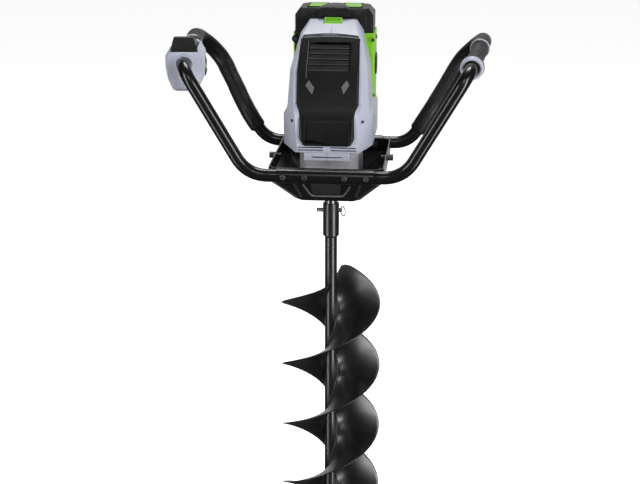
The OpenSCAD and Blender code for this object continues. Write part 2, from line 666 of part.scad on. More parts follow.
module gearbox_bearings() {
    color("#c3c5c9") {
        translate([0, 0, gearbox_z + 9.6]) bearing(shaft_r + 0.02, 25.97, 15);
        translate([0, 0, plate_z + 0.5]) bearing(10.02, 20.97, 11);
        at_lay(gearbox_z + 13.6) bearing(6.02, 13.97, 8);
        at_lay(plate_z + 3.1) bearing(7.52, 15.97, 9);
    }
}
module oil_seal() {
    color("#2a1d16") translate([0, 0, gearbox_z + 1.6]) tube_ring(20.97, shaft_r + 0.05, 7);
}
module layshaft() {
    color("#c3c5c9") {
        at_lay(gearbox_z + 13.8) cylinder(h = 8.2, r = 6);
        at_lay(66.5) cylinder(h = 5.5, r = 6.9);
        at_lay(72) spur(second_module, pinion_teeth, shift, 24, 0);
        at_lay(96) cylinder(h = 18, r = 7.5);
    }
    color("#b9bcc1") at_lay(114) difference() {
        spur(first_module, wheel_teeth, -shift, 14, 3.75);
        for (a = [0:60:300]) rotate([0, 0, a]) translate([18, 0, -1]) cylinder(h = 16, r = 5.5);
    }
}
module output_gear() {
    color("#b9bcc1") translate([0, 0, 74]) difference() {
        spur(second_module, output_teeth, -shift, 20, 3);
        translate([0, 0, -1]) cylinder(h = 22, r = 14.02);
        for (a = [0:60:300]) rotate([0, 0, a]) translate([28, 0, -1]) cylinder(h = 22, r = 8);
    }
}
module output_spindle() {
    color("#8d9096") difference() {
        rotate_extrude() polygon([[0, -38], [shaft_r - 1, -38], [shaft_r, -37], [shaft_r, 70.5], [16.5, 70.5],
            [16.5, 73.9], [14, 73.9], [14, 95.5], [10, 96.5], [10, 109.5], [0, 109.5]]);
        along_x([-20, 0, 0]) cylinder(h = 40, r = pin_hole_r);
    }
}

// ---- Bit ----
module bit_shaft() {
    color("#19191a") difference() {
        rotate_extrude() polygon([[0, bit_bottom], [shaft_r, bit_bottom], [shaft_r, -56],
            [coupler_d / 2, -51.5], [coupler_d / 2, bit_top], [shaft_r + 0.05, bit_top],
            [shaft_r + 0.05, -40], [10, -44], [10, bit_bottom + 6], [0, bit_bottom + 6]]);
        along_x([-30, 0, 0]) cylinder(h = 60, r = pin_hole_r);
        translate([0, 0, bit_bottom - 1]) cylinder(h = 9, r = 6);
    }
}
// Height of the strip's middle surface, and its upright thickness, at radius r
function strip_z(a, r) = flight_zero + slope * a + flight_cup * (r - flight_r);
function strip_t(r) = flight_t * sqrt(1 + pow(slope * 180 / PI / r, 2) + pow(flight_cup, 2));
function strip_corner(a, r, side, turn) =
    [r * cos(a + turn), r * sin(a + turn), strip_z(a, r) + side * strip_t(r) / 2];
// Angle and outer radius at each step up the flight, whose top corner is rounded
corner_sweep = corner_r / flight_r * 180 / PI;
flight_steps = concat([for (i = [0:95]) [flight_end + (flight_sweep - corner_sweep) * i / 95, flight_r]],
    [for (t = [22.5:22.5:90])
        [flight_start - corner_sweep * (1 - sin(t)), flight_r - corner_r * (1 - cos(t))]]);
module flight(turn) {
    last = len(flight_steps) - 1;
    points = [for (q = flight_steps) let (radii = [shaft_r + 0.1, 30, q[1]])
        each concat([for (r = radii) strip_corner(q[0], r, -1, turn)],
        [for (k = [2:-1:0]) strip_corner(q[0], radii[k], 1, turn)])];
    // The upper and the lower face split each quad along the same diagonal, so the strip stays even
    walls = [for (i = [0:last - 1], k = [0:5]) let (a = i * 6 + k, b = i * 6 + (k + 1) % 6)
        each k < 3 ? [[a, b, b + 6], [a, b + 6, a + 6]] : [[a, b, a + 6], [b, b + 6, a + 6]]];
    polyhedron(points, concat(walls, [[5, 4, 3, 2, 1, 0], [for (k = [0:5]) last * 6 + k]]));
}
module flight_a() { color("#19191a") flight(0); }
module flight_b() { color("#19191a") flight(180); }
// Frame of a blade seat: x outwards, -y the way it cuts, z across the plate
module on_seat(turn) {
    rotate([0, 0, flight_end + turn]) translate([0, 0, strip_z(flight_end, 0)])
        rotate([0, -cup_angle, 0]) rotate([seat_tilt, 0, 0]) children();
}
blade_holes = [[44, -18], [80, -18]];
module blade_seats() {
    color("#19191a") for (turn = [0, 180]) on_seat(turn) difference() {
        translate([26, -32, -2]) cube([72, 30.2, 4]);
        for (q = blade_holes) translate([q.x, q.y, -5]) cylinder(h = 10, r = 3.2);
    }
}
module cutting_blades() {
    color("#b5b8bd") for (turn = [0, 180]) on_seat(turn) difference() {
        translate([22, 0, 0]) rotate([90, 0, 90]) linear_extrude(80)
            polygon([[-7, -2.1], [-7, -4.7], [-42, -4.7], [-47, -2.1]]);
        for (q = blade_holes) translate([q.x, q.y, -8]) cylinder(h = 10, r = 3.2);
    }
}
module blade_screws() {
    color("#9b9ea3") for (turn = [0, 180]) on_seat(turn) for (q = blade_holes) translate([q.x, q.y, 0]) {
        translate([0, 0, -5]) cylinder(h = 13, r = 3);
        translate([0, 0, -7.8]) cylinder(h = 3, r1 = 4, r2 = 5.2);
        translate([0, 0, 2.1]) difference() {
            cylinder(h = 5, r = 5.6, $fn = 6);
            translate([0, 0, -1]) cylinder(h = 7, r = 3.05);
        }
    }
}
module centre_point() {
    color("#b5b8bd") {
        translate([0, 0, bit_bottom - 30]) cylinder(h = 29.9, r1 = 1.2, r2 = shaft_r - 0.2);
        translate([0, 0, bit_bottom - 0.1]) cylinder(h = 7, r = 5.95);
    }
}
ring_r = 9.4;
ring_wire = 1.1;
ring_x = 19.5;
ring_turn = -55;
module hitch_pin() {
    color("#b9bcc1") difference() {
        along_x([-29, 0, 0]) cylinder(h = 51.5, r = pin_r);
        translate([ring_x, 0, -10]) cylinder(h = 20, r = ring_wire * 2);
    }
}
module pin_ring() {
    color("#b9bcc1") translate([ring_x, 0, 0]) rotate([0, 0, ring_turn]) translate([ring_r, 0, 0])
        rotate([90, 0, 0]) rotate_extrude() translate([ring_r, 0]) circle(r = ring_wire, $fn = 16);
}

tube_left();
tube_right();
front_sleeve();
rear_sleeve();
frame_bolts();
base_tray();
gearbox_housing();
bearing_plate();
gearbox_cover();
gearbox_screws();
gearbox_bearings();
oil_seal();
motor_case();
motor_stator();
motor_windings();
motor_bearings();
motor_rotor();
cooling_fan();
controller();
shell_left();
shell_right();
front_cover();
louvre_panel();
lower_grille();
bay_shell_left();
bay_shell_right();
battery_dock();
side_vents();
shell_screws();
battery_latch();
battery_case();
battery_cells();
battery_inserts();
throttle_shell_outer();
throttle_shell_inner();
throttle_cap();
trigger();
trigger_pin();
trigger_spring();
rocker_switch();
lock_button();
throttle_switch();
grip_left();
grip_right();
collar_right();
rear_collars();
pad_left();
pad_right();
layshaft();
output_spindle();
output_gear();
bit_shaft();
flight_a();
flight_b();
blade_seats();
cutting_blades();
blade_screws();
centre_point();
hitch_pin();
pin_ring();
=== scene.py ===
"""The looks of an ice fishing auger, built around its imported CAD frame. Lengths are in metres."""
import json
import math

import bmesh
import bpy
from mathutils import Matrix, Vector, noise


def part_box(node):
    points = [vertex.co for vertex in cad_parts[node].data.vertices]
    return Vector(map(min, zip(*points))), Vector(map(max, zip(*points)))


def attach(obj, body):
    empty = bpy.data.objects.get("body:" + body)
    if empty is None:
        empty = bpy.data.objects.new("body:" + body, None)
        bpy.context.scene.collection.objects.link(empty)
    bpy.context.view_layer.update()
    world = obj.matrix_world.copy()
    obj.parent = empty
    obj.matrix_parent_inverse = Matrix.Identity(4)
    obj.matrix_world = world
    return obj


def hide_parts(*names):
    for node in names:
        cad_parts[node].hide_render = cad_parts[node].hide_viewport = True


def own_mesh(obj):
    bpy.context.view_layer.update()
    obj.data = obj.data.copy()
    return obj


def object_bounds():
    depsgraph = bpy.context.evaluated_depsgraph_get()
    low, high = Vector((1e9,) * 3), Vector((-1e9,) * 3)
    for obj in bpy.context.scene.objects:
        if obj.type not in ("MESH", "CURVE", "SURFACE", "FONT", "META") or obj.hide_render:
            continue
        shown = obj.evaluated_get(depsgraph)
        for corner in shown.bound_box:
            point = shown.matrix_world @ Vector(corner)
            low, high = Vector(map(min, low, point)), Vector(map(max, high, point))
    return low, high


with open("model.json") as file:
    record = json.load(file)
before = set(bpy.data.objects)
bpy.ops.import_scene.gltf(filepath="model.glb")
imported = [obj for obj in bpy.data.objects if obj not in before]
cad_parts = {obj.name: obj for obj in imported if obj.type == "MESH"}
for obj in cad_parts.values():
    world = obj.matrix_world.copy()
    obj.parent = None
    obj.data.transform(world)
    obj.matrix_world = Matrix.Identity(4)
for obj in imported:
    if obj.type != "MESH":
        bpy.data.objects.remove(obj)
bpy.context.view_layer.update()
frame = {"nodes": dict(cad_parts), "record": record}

MM = 0.001
X, Y, Z = Vector((1, 0, 0)), Vector((0, 1, 0)), Vector((0, 0, 1))


def mm(rows):
    """Rows of millimetres as rows of metres."""
    return [tuple(number * MM for number in row) for row in rows]


# ---- Camera, floor and light ----
CAMERA_PLACE = (0.280, -3.188, 0.905)
CAMERA_TILT, CAMERA_PAN = math.radians(73.09), math.radians(5.42)
CAMERA_LENS = 92.5
FLOOR_SIZE, FLOOR_GAP = 60, 0.5 * MM
# Strength of the white world as a light, and where the camera sees it
WORLD_LIGHT, WORLD_SEEN = 0.04, 1.0


def make_camera():
    data = bpy.data.cameras.new("camera")
    data.lens = CAMERA_LENS
    data.sensor_width = 36
    data.clip_end = FLOOR_SIZE
    camera = bpy.data.objects.new("camera", data)
    camera.location = CAMERA_PLACE
    camera.rotation_euler = (CAMERA_TILT, 0, CAMERA_PAN)
    bpy.context.scene.collection.objects.link(camera)
    bpy.context.scene.camera = camera


def make_floor():
    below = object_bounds()[0].z - FLOOR_GAP
    bpy.ops.mesh.primitive_plane_add(size=FLOOR_SIZE, location=(0, 0, below))
    floor = bpy.context.object
    floor.name = "floor"
    material, tree, bsdf = new_material("floor")
    grain = noise_at(tree, object_point(tree), 0.8)
    pale = mixed(tree, grain, (0.84, 0.84, 0.84, 1), (0.9, 0.9, 0.9, 1))
    fill(tree, bsdf, Base_Color=pale, Roughness=0.9, Specular_IOR_Level=0.0,
         Emission_Color=(1, 1, 1, 1), Emission_Strength=0.9)
    floor.data.materials.append(material)
    # The studio light comes from the softboxes alone
    floor.visible_glossy = floor.visible_diffuse = floor.visible_shadow = False


def area_light(name, place, target, size, power):
    """A rectangular softbox at place that faces target."""
    data = bpy.data.lights.new(name, "AREA")
    data.shape = "RECTANGLE"
    data.size, data.size_y = size
    data.energy = power
    light = bpy.data.objects.new(name, data)
    light.location = place
    light.rotation_euler = (Vector(target) - Vector(place)).to_track_quat("-Z", "Y").to_euler()
    light.visible_camera = False
    bpy.context.scene.collection.objects.link(light)


def make_lights():
    """Five softboxes in a white world that itself gives little light."""
    area_light("left_softbox", (-2.6, -2.25, -0.1), (0, 0, -0.1), (0.8, 4.4), 85)
    area_light("right_softbox", (2.45, -2.35, -0.1), (0, 0, -0.1), (0.8, 4.4), 135)
    area_light("top_softbox", (0.2, 1.3, 3.4), (0, 0, 0), (1.8, 1.4), 80)
    area_light("front_softbox", (0.5, -4.6, 3.2), (0, 0, 0.1), (2.0, 1.0), 34)
    area_light("back_softbox", (0, 4.6, 0.2), (0, 0, 0.2), (9.0, 6.0), 95)
    world = bpy.data.worlds.new("studio")
    bpy.context.scene.world = world
    world.use_nodes = True
    tree = world.node_tree
    path = tree.nodes.new("ShaderNodeLightPath")
    strength = node(tree, "ShaderNodeMapRange", Value=path.outputs["Is Camera Ray"],
                    To_Min=WORLD_LIGHT, To_Max=WORLD_SEEN)
    fill(tree, tree.nodes["Background"], Strength=strength.outputs["Result"], Color=(1, 1, 1, 1))
    bpy.context.scene.view_settings.view_transform = "Standard"


# ---- Material helpers ----
def new_material(name):
    material = bpy.data.materials.new(name)
    material.use_nodes = True
    tree = material.node_tree
    return material, tree, tree.nodes["Principled BSDF"]


def join(tree, socket, value):
    """Sets socket to value, or links them where value is a socket too."""
    if isinstance(value, bpy.types.NodeSocket):
        tree.links.new(value, socket)
    else:
        socket.default_value = value


def fill(tree, made, **inputs):
    """Sets or links a node's inputs by name, with _ for each space."""
    for key, value in inputs.items():
        join(tree, made.inputs[key.replace("_", " ")], value)


def node(tree, kind, **inputs):
    made = tree.nodes.new(kind)
    fill(tree, made, **inputs)
    return made


def object_point(tree):
    return tree.nodes.new("ShaderNodeTexCoord").outputs["Object"]


def noise_at(tree, point, size, detail=3.0, stretch=None):
    """Noise from 0 to 1 whose features are about size across."""
    if stretch:
        scaled = node(tree, "ShaderNodeVectorMath", Vector=point)
        scaled.operation = "MULTIPLY"
        scaled.inputs[1].default_value = stretch
        point = scaled.outputs["Vector"]
    made = node(tree, "ShaderNodeTexNoise", Vector=point, Scale=1 / size, Detail=detail)
    return made.outputs["Fac"]


def ranged(tree, value, low, high, start=0.3, end=0.7):
    """value mapped from start..end to low..high."""
    return node(tree, "ShaderNodeMapRange", Value=value, From_Min=start, From_Max=end,
                To_Min=low, To_Max=high).outputs["Result"]


def mixed(tree, factor, first, second):
    made = tree.nodes.new("ShaderNodeMix")
    made.data_type = "RGBA"
    # The factor and the two colours, among inputs for other types
    for index, value in ((0, factor), (6, first), (7, second)):
        join(tree, made.inputs[index], value)
    return made.outputs[2]


def bumped(tree, height, depth, before=None):
    """A bump whose height of 1 stands depth proud."""
    made = node(tree, "ShaderNodeBump", Height=height, Strength=1.0, Distance=depth)
    if before:
        join(tree, made.inputs["Normal"], before)
    return made.outputs["Normal"]


def edge_mask(tree, radius):
    """1 on convex edges within radius and 0 on flat faces."""
    geometry = tree.nodes.new("ShaderNodeNewGeometry")
    bevel = node(tree, "ShaderNodeBevel", Radius=radius)
    bevel.samples = 4
    dot = tree.nodes.new("ShaderNodeVectorMath")
    dot.operation = "DOT_PRODUCT"
    join(tree, dot.inputs[0], geometry.outputs["Normal"])
    join(tree, dot.inputs[1], bevel.outputs["Normal"])
    return ranged(tree, dot.outputs["Value"], 1.0, 0.0, 0.80, 0.95)


def shade(colour, factor):
    return tuple(min(1.0, c * factor) for c in colour[:3]) + (1.0,)


def surface(name, colour, rough, metal=0.0, coat=0.0, coat_rough=0.08, specular=0.5, blotch=0.1,
            blotch_size=0.06, grain=0.0, grain_size=0.001, swing=0.06, wear=None, wear_amount=0.0,
            dust=0.0, stretch=None):
    """A material with varied colour and roughness, a fine grain and optional dust and edge wear."""
    material, tree, bsdf = new_material(name)
    point = object_point(tree)
    wide = noise_at(tree, point, blotch_size)
    fine = noise_at(tree, point, grain_size, 2.0, stretch)
    tint = mixed(tree, ranged(tree, wide, 0.0, 1.0), shade(colour, 1 - blotch),
                 shade(colour, 1 + blotch))
    tint = mixed(tree, ranged(tree, fine, 0.0, 0.35), tint, shade(colour, 0.75))
    if dust:
        haze = noise_at(tree, point, 0.018, 6.0)
        tint = mixed(tree, ranged(tree, haze, 0.0, dust, 0.5, 0.75), tint, (0.5, 0.5, 0.5, 1))
    if wear:
        patches = noise_at(tree, point, 0.012, 5.0)
        rubbed = tree.nodes.new("ShaderNodeMath")
        rubbed.operation = "MULTIPLY"
        join(tree, rubbed.inputs[0], edge_mask(tree, 0.0012))
        join(tree, rubbed.inputs[1], ranged(tree, patches, 0.0, wear_amount, 0.42, 0.6))
        tint = mixed(tree, rubbed.outputs[0], tint, wear)
    gloss = noise_at(tree, point, blotch_size * 0.4, 5.0)
    fill(tree, bsdf, Base_Color=tint, Roughness=ranged(tree, gloss, rough - swing, rough + swing),
         Metallic=metal, Specular_IOR_Level=specular, Coat_Weight=coat, Coat_Roughness=coat_rough)
    if grain:
        fill(tree, bsdf, Normal=bumped(tree, fine, grain))
    return material


def foam_material():
    """Closed-cell foam sleeve: matte charcoal skin with fine pores and rubbed patches."""
    material, tree, bsdf = new_material("pad_foam")
    point = object_point(tree)
    patches = noise_at(tree, point, 0.045, 4.0)
    pores = node(tree, "ShaderNodeTexVoronoi", Vector=point, Scale=900.0).outputs["Distance"]
    fibre = noise_at(tree, point, 0.0016, 4.0)
    tint = mixed(tree, ranged(tree, patches, 0.0, 1.0), (0.003, 0.003, 0.0033, 1),
                 (0.008, 0.008, 0.0085, 1))
    tint = mixed(tree, ranged(tree, fibre, 0.0, 0.2), tint, (0.02, 0.02, 0.021, 1))
    normal = bumped(tree, fibre, 0.00025, before=bumped(tree, pores, 0.00012))
    fill(tree, bsdf, Base_Color=tint, Roughness=ranged(tree, patches, 0.58, 0.28), Normal=normal,
         Sheen_Weight=0.03, Sheen_Roughness=0.5, Specular_IOR_Level=0.3)
    return material


BLACK = (0.005, 0.005, 0.0054)
PANEL_BLACK = (0.0085, 0.0085, 0.009)
CASE_BLACK = (0.012, 0.012, 0.013)
SWITCH_BLACK = (0.010, 0.010, 0.0105)
GREY = (0.50, 0.52, 0.62)
LIME = (0.26, 0.67, 0.016)
WORN_STEEL = (0.30, 0.30, 0.31, 1)


def make_materials():
    """One material for each material slot of the record, then shades for pieces within a slot."""
    black_plastic = dict(grain=0.00003, grain_size=0.0007, swing=0.05, blotch=0.15, specular=0.4)
    grey_plastic = dict(grain=0.00005, grain_size=0.0006, swing=0.05, blotch=0.035,
                        blotch_size=0.09, dust=0.03)
    lime_plastic = dict(grain=0.00004, grain_size=0.0006, swing=0.05, blotch=0.06)
    steel = dict(metal=1.0, grain=0.00003, grain_size=0.0009, swing=0.07, blotch=0.12)
    satin = dict(grain=0.00003, grain_size=0.0007, blotch=0.15)
    looks = {
        "tube_black": (BLACK, 0.30, dict(
            coat=0.5, coat_rough=0.2, specular=0.25, grain=0.000003, grain_size=0.0024,
            wear=WORN_STEEL, wear_amount=0.08)),
        "tray_black": ((0.007, 0.007, 0.0075), 0.36, dict(
            coat=0.4, coat_rough=0.2, specular=0.3, grain=0.00001, grain_size=0.002,
            wear=WORN_STEEL, wear_amount=0.08)),
        "bolt_black": ((0.085, 0.085, 0.09), 0.40, dict(
            metal=0.7, grain=0.00003, wear=WORN_STEEL, wear_amount=0.8)),
        "cast_aluminium": ((0.80, 0.81, 0.84), 0.34, dict(
            metal=0.15, grain=0.00018, grain_size=0.0015, blotch=0.16, blotch_size=0.03, swing=0.1,
            wear=(0.75, 0.76, 0.78, 1), wear_amount=0.7)),
        "machined_steel": ((0.55, 0.56, 0.58), 0.28, steel),
        "spindle_steel": ((0.17, 0.17, 0.18), 0.33, steel),
        "seal_rubber": ((0.03, 0.02, 0.017), 0.6, black_plastic),
        "motor_metal": ((0.42, 0.43, 0.45), 0.38, dict(
            metal=1.0, grain=0.0001, grain_size=0.0012, wear=WORN_STEEL, wear_amount=0.3)),
        "lamination_steel": ((0.2, 0.2, 0.215), 0.4, dict(
            metal=1.0, grain=0.00008, grain_size=0.0007, stretch=(0.1, 0.1, 2.0))),
        "copper_wire": ((0.62, 0.24, 0.09), 0.3, dict(
            metal=1.0, grain=0.0002, grain_size=0.0009, stretch=(0.2, 0.2, 3.0))),
        "rotor_dark": ((0.05, 0.05, 0.055), 0.4, black_plastic),
        "fan_black": (CASE_BLACK, 0.45, black_plastic),
        "board_green": ((0.02, 0.12, 0.045), 0.3, dict(
            coat=0.3, grain=0.00006, grain_size=0.0011, blotch=0.2)),
        "shell_grey": (GREY, 0.36, grey_plastic),
        "cover_black": (PANEL_BLACK, 0.36, dict(black_plastic, specular=0.2)),
        "louvre_black": (PANEL_BLACK, 0.36, dict(black_plastic, specular=0.3)),
        "grille_black": (PANEL_BLACK, 0.45, black_plastic),
        "bay_green": (LIME, 0.36, lime_plastic),
        "vent_black": ((0.011, 0.011, 0.012), 0.42, black_plastic),
        "latch_green": ((0.20, 0.58, 0.012), 0.3, lime_plastic),
        "battery_black": (CASE_BLACK, 0.36, dict(black_plastic, dust=0.03)),
        "cell_wrap": ((0.04, 0.16, 0.45), 0.3, dict(coat=0.4, blotch=0.1)),
        "insert_green": (LIME, 0.3, lime_plastic),
        "throttle_grey": (GREY, 0.36, grey_plastic),
        "cap_black": ((0.011, 0.011, 0.0115), 0.36, black_plastic),
        "trigger_black": (SWITCH_BLACK, 0.28, black_plastic),
        "rocker_black": (SWITCH_BLACK, 0.28, black_plastic),
        "grip_rubber": ((0.022, 0.022, 0.024), 0.45, dict(
            grain=0.0001, grain_size=0.0009, blotch=0.2, dust=0.05)),
        "collar_grey": ((0.48, 0.50, 0.60), 0.34, grey_plastic),
        "bit_black": ((0.0065, 0.0065, 0.007), 0.36, dict(
            coat=0.5, coat_rough=0.26, blotch=0.2, grain=0.00001, grain_size=0.003,
            wear=WORN_STEEL, wear_amount=0.3)),
        "blade_steel": ((0.48, 0.49, 0.51), 0.25, dict(steel, stretch=(0.15, 3.0, 3.0))),
        "screw_zinc": ((0.38, 0.39, 0.41), 0.3, steel),
        "pin_zinc": ((0.40, 0.41, 0.43), 0.30, dict(steel, metal=0.55)),
        "diamond_grey": ((0.115, 0.115, 0.12), 0.42, dict(satin, blotch=0.12)),
        # Darker green, used as painted shade in the latch's finger recess
        "painted_shade_green": ((0.15, 0.44, 0.012), 0.62, dict(satin, blotch=0.12, specular=0.15)),
        # Lighter copy of the black paint, used as painted sheen on the tray's pressings
        "painted_sheen_black": ((0.024, 0.024, 0.026), 0.42, satin),
        # Grey copy of the black paint and plastic, used as painted highlight on lit edges
        "painted_highlight_grey": ((0.10, 0.105, 0.11), 0.34, satin),
    }
    made = {name: surface(name, colour, rough, **rest)
            for name, (colour, rough, rest) in looks.items()}
    made["pad_foam"] = foam_material()
    return made


# ---- Mesh helpers ----
def add_piece(name, mesh, body, slot, smooth=True, stands_for=()):
    obj = bpy.data.objects.new(name, mesh)
    bpy.context.scene.collection.objects.link(obj)
    obj.data.materials.append(MATERIALS[slot])
    for polygon in mesh.polygons:
        polygon.use_smooth = smooth
    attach(obj, body)
    if stands_for:
        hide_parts(*stands_for)
    return obj


def painted(obj, look):
    """Gives a piece another shade within its slot."""
    obj.data.materials[0] = MATERIALS[look]


def mesh_from(name, points, faces):
    mesh = bpy.data.meshes.new(name)
    mesh.from_pydata([tuple(p) for p in points], [], faces)
    mesh.validate()
    mesh.update()
    return mesh


def turned_over(faces):
    return [face[::-1] for face in faces]


def for_side(side, points, faces):
    """Points and faces as they are for the right side, or mirrored for the left."""
    if side == "right":
        return points, faces
    return [Vector((-p.x, p.y, p.z)) for p in points], turned_over(faces)


def grid_faces(rows, columns):
    """Quads between rows of points, each row a closed ring."""
    faces = []
    for i in range(rows - 1):
        for k in range(columns):
            a, b = i * columns + k, i * columns + (k + 1) % columns
            faces.append((a, b, b + columns, a + columns))
    return faces


def capped_faces(rows, columns):
    """grid_faces with its first and last rings filled."""
    last = (rows - 1) * columns
    return grid_faces(rows, columns) + [tuple(range(columns))[::-1],
                                        tuple(range(last, last + columns))]


def lofted(name, rings):
    """A closed mesh through rings of points, all of the same length."""
    mesh = mesh_from(name, [p for ring in rings for p in ring],
                     capped_faces(len(rings), len(rings[0])))
    edit = bmesh.new()
    edit.from_mesh(mesh)
    bmesh.ops.recalc_face_normals(edit, faces=edit.faces)
    edit.to_mesh(mesh)
    edit.free()
    return mesh


def bevelled(obj, width, segments=2, angle=30):
    """Rounds the sharp edges of obj."""
    bevel = obj.modifiers.new("edges", "BEVEL")
    bevel.width = width
    bevel.segments = segments
    bevel.limit_method = "ANGLE"
    bevel.angle_limit = math.radians(angle)
    bevel.harden_normals = True
    obj.modifiers.new("normals", "WEIGHTED_NORMAL").keep_sharp = True
    return obj


def soften(name, width):
    """Rounds a CAD node's sharp edges without touching its own mesh."""
    obj = frame["nodes"][name]
    if "custom_normal" in obj.data.attributes:
        obj.data.attributes.remove(obj.data.attributes["custom_normal"])
    for polygon in obj.data.polygons:
        polygon.use_smooth = True
    weld = obj.modifiers.new("weld", "WELD")
    weld.merge_threshold = 0.00002
    flat = obj.modifiers.new("flat", "DECIMATE")
    flat.decimate_type = "DISSOLVE"
    flat.angle_limit = math.radians(0.6)
    bevelled(obj, width)


def unit(v):
    return v.normalized()


def across(u, t):
    return unit(u - u.dot(t) * t)


def carried_frames(points):
    """Tangent and two cross directions at each point, carried along without twist."""
    last = len(points) - 1
    tangents = [unit(points[min(i + 1, last)] - points[max(i - 1, 0)]) for i in range(last + 1)]
    side = across(Vector((0, 0.3, 1)), tangents[0])
    frames = []
    for t in tangents:
        side = across(side, t)
        frames.append((t, side, t.cross(side)))
    return frames


def swept(points, radius, sides, caps=True):
    """Points and faces of a round sweep; radius is a number or a function of (index, angle)."""
    verts = []
    for i, (p, (_, u, v)) in enumerate(zip(points, carried_frames(points))):
        for k in range(sides):
            a = 2 * math.pi * k / sides
            r = radius(i, a) if callable(radius) else radius
            verts.append(p + r * (math.cos(a) * u + math.sin(a) * v))
    return verts, (capped_faces if caps else grid_faces)(len(points), sides)


# ---- Handle frame ----
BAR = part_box("front_sleeve")
BAR_Z = (BAR[0].z + BAR[1].z) / 2
FRONT_Y = (BAR[0].y + BAR[1].y) / 2
REAR_Y = sum(c.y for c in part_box("rear_sleeve")) / 2
TUBE_R = 12.7 * MM
PAD_R = 18.3 * MM
# Corners of the right handle tube, and how much straight tube each bend takes up
TUBE_CORNERS = [Vector((x * MM, y, BAR_Z + h * MM)) for x, y, h in (
    (8, FRONT_Y, 0), (151, FRONT_Y, 0), (272, FRONT_Y, 205.5), (299, 185 * MM, 216),
    (255, 225 * MM, 168), (186, 148 * MM, 58), (147, REAR_Y, 0), (8, REAR_Y, 0))]
TUBE_BITES = [bite * MM for bite in (0, 40, 38, 36, 36, 32, 30, 0)]
BEND_STEPS = 20
# Foam pad: spacing of its rings, points in a ring, its top along the grip from the front corner,
# and its foot as a share of the rear leg's lower straight
PAD_STEP, PAD_SIDES = 2 * MM, 56
PAD_TOP, PAD_FOOT = 231 * MM, 0.51
# Rubber grip: radius, rear end along the grip, spacing of the knurl's rings and its height
GRIP_R, GRIP_END = 16 * MM, 218 * MM
KNURL_STEP, KNURL = 0.75 * MM, 0.7 * MM
# Start of the collar in front of the right grip
COLLAR_START = 41.0 * MM
GRIP_BASE = TUBE_CORNERS[2]
GRIP_DIR = unit(TUBE_CORNERS[3] - TUBE_CORNERS[2])
GRIP_SIDE = across(X, GRIP_DIR)
GRIP_UP = GRIP_DIR.cross(GRIP_SIDE)


def tube_path():
    """Centreline of the right handle tube, with its bends rounded."""
    path = []
    for i, (corner, bite) in enumerate(zip(TUBE_CORNERS, TUBE_BITES)):
        if bite == 0:
            path.append(corner.copy())
            continue
        start = corner + bite * unit(TUBE_CORNERS[i - 1] - corner)
        end = corner + bite * unit(TUBE_CORNERS[i + 1] - corner)
        for k in range(BEND_STEPS + 1):
            t = k / BEND_STEPS
            path.append((1 - t) ** 2 * start + 2 * t * (1 - t) * corner + t * t * end)
    return path


def resampled(path, spacing):
    """The same path with points about spacing apart."""
    lengths = [0.0]
    for a, b in zip(path, path[1:]):
        lengths.append(lengths[-1] + (b - a).length)
    count = max(2, round(lengths[-1] / spacing))
    result, i = [], 0
    for k in range(count + 1):
        s = lengths[-1] * k / count
        while i < len(path) - 2 and lengths[i + 1] < s:
            i += 1
        share = (s - lengths[i]) / (lengths[i + 1] - lengths[i])
        result.append(path[i].lerp(path[i + 1], min(1.0, share)))
    return result


def on_grip(s, radius=0.0, angle=0.0):
    """A point s along the right grip from the front corner, radius off its axis."""
    return (GRIP_BASE + s * GRIP_DIR
            + radius * (math.cos(angle) * GRIP_SIDE + math.sin(angle) * GRIP_UP))


def make_tubes():
    tube = swept(tube_path(), TUBE_R, 48)
    for side in ("right", "left"):
        mesh = mesh_from(f"handle_tube_{side}", *for_side(side, *tube))
        add_piece(f"handle_tube_{side}", mesh, "frame", "tube_black", stands_for=[f"tube_{side}"])


def pad_points():
    """Centreline of the right foam pad, from behind the grip down to the rear leg's straight."""
    path = resampled(tube_path(), PAD_STEP)
    top = on_grip(PAD_TOP)
    low = TUBE_CORNERS[5].lerp(TUBE_CORNERS[6], PAD_FOOT)
    first = min(range(len(path)), key=lambda i: (path[i] - top).length)
    last = min(range(len(path)), key=lambda i: (path[i] - low).length)
    return resampled(path[first:last + 1], PAD_STEP)


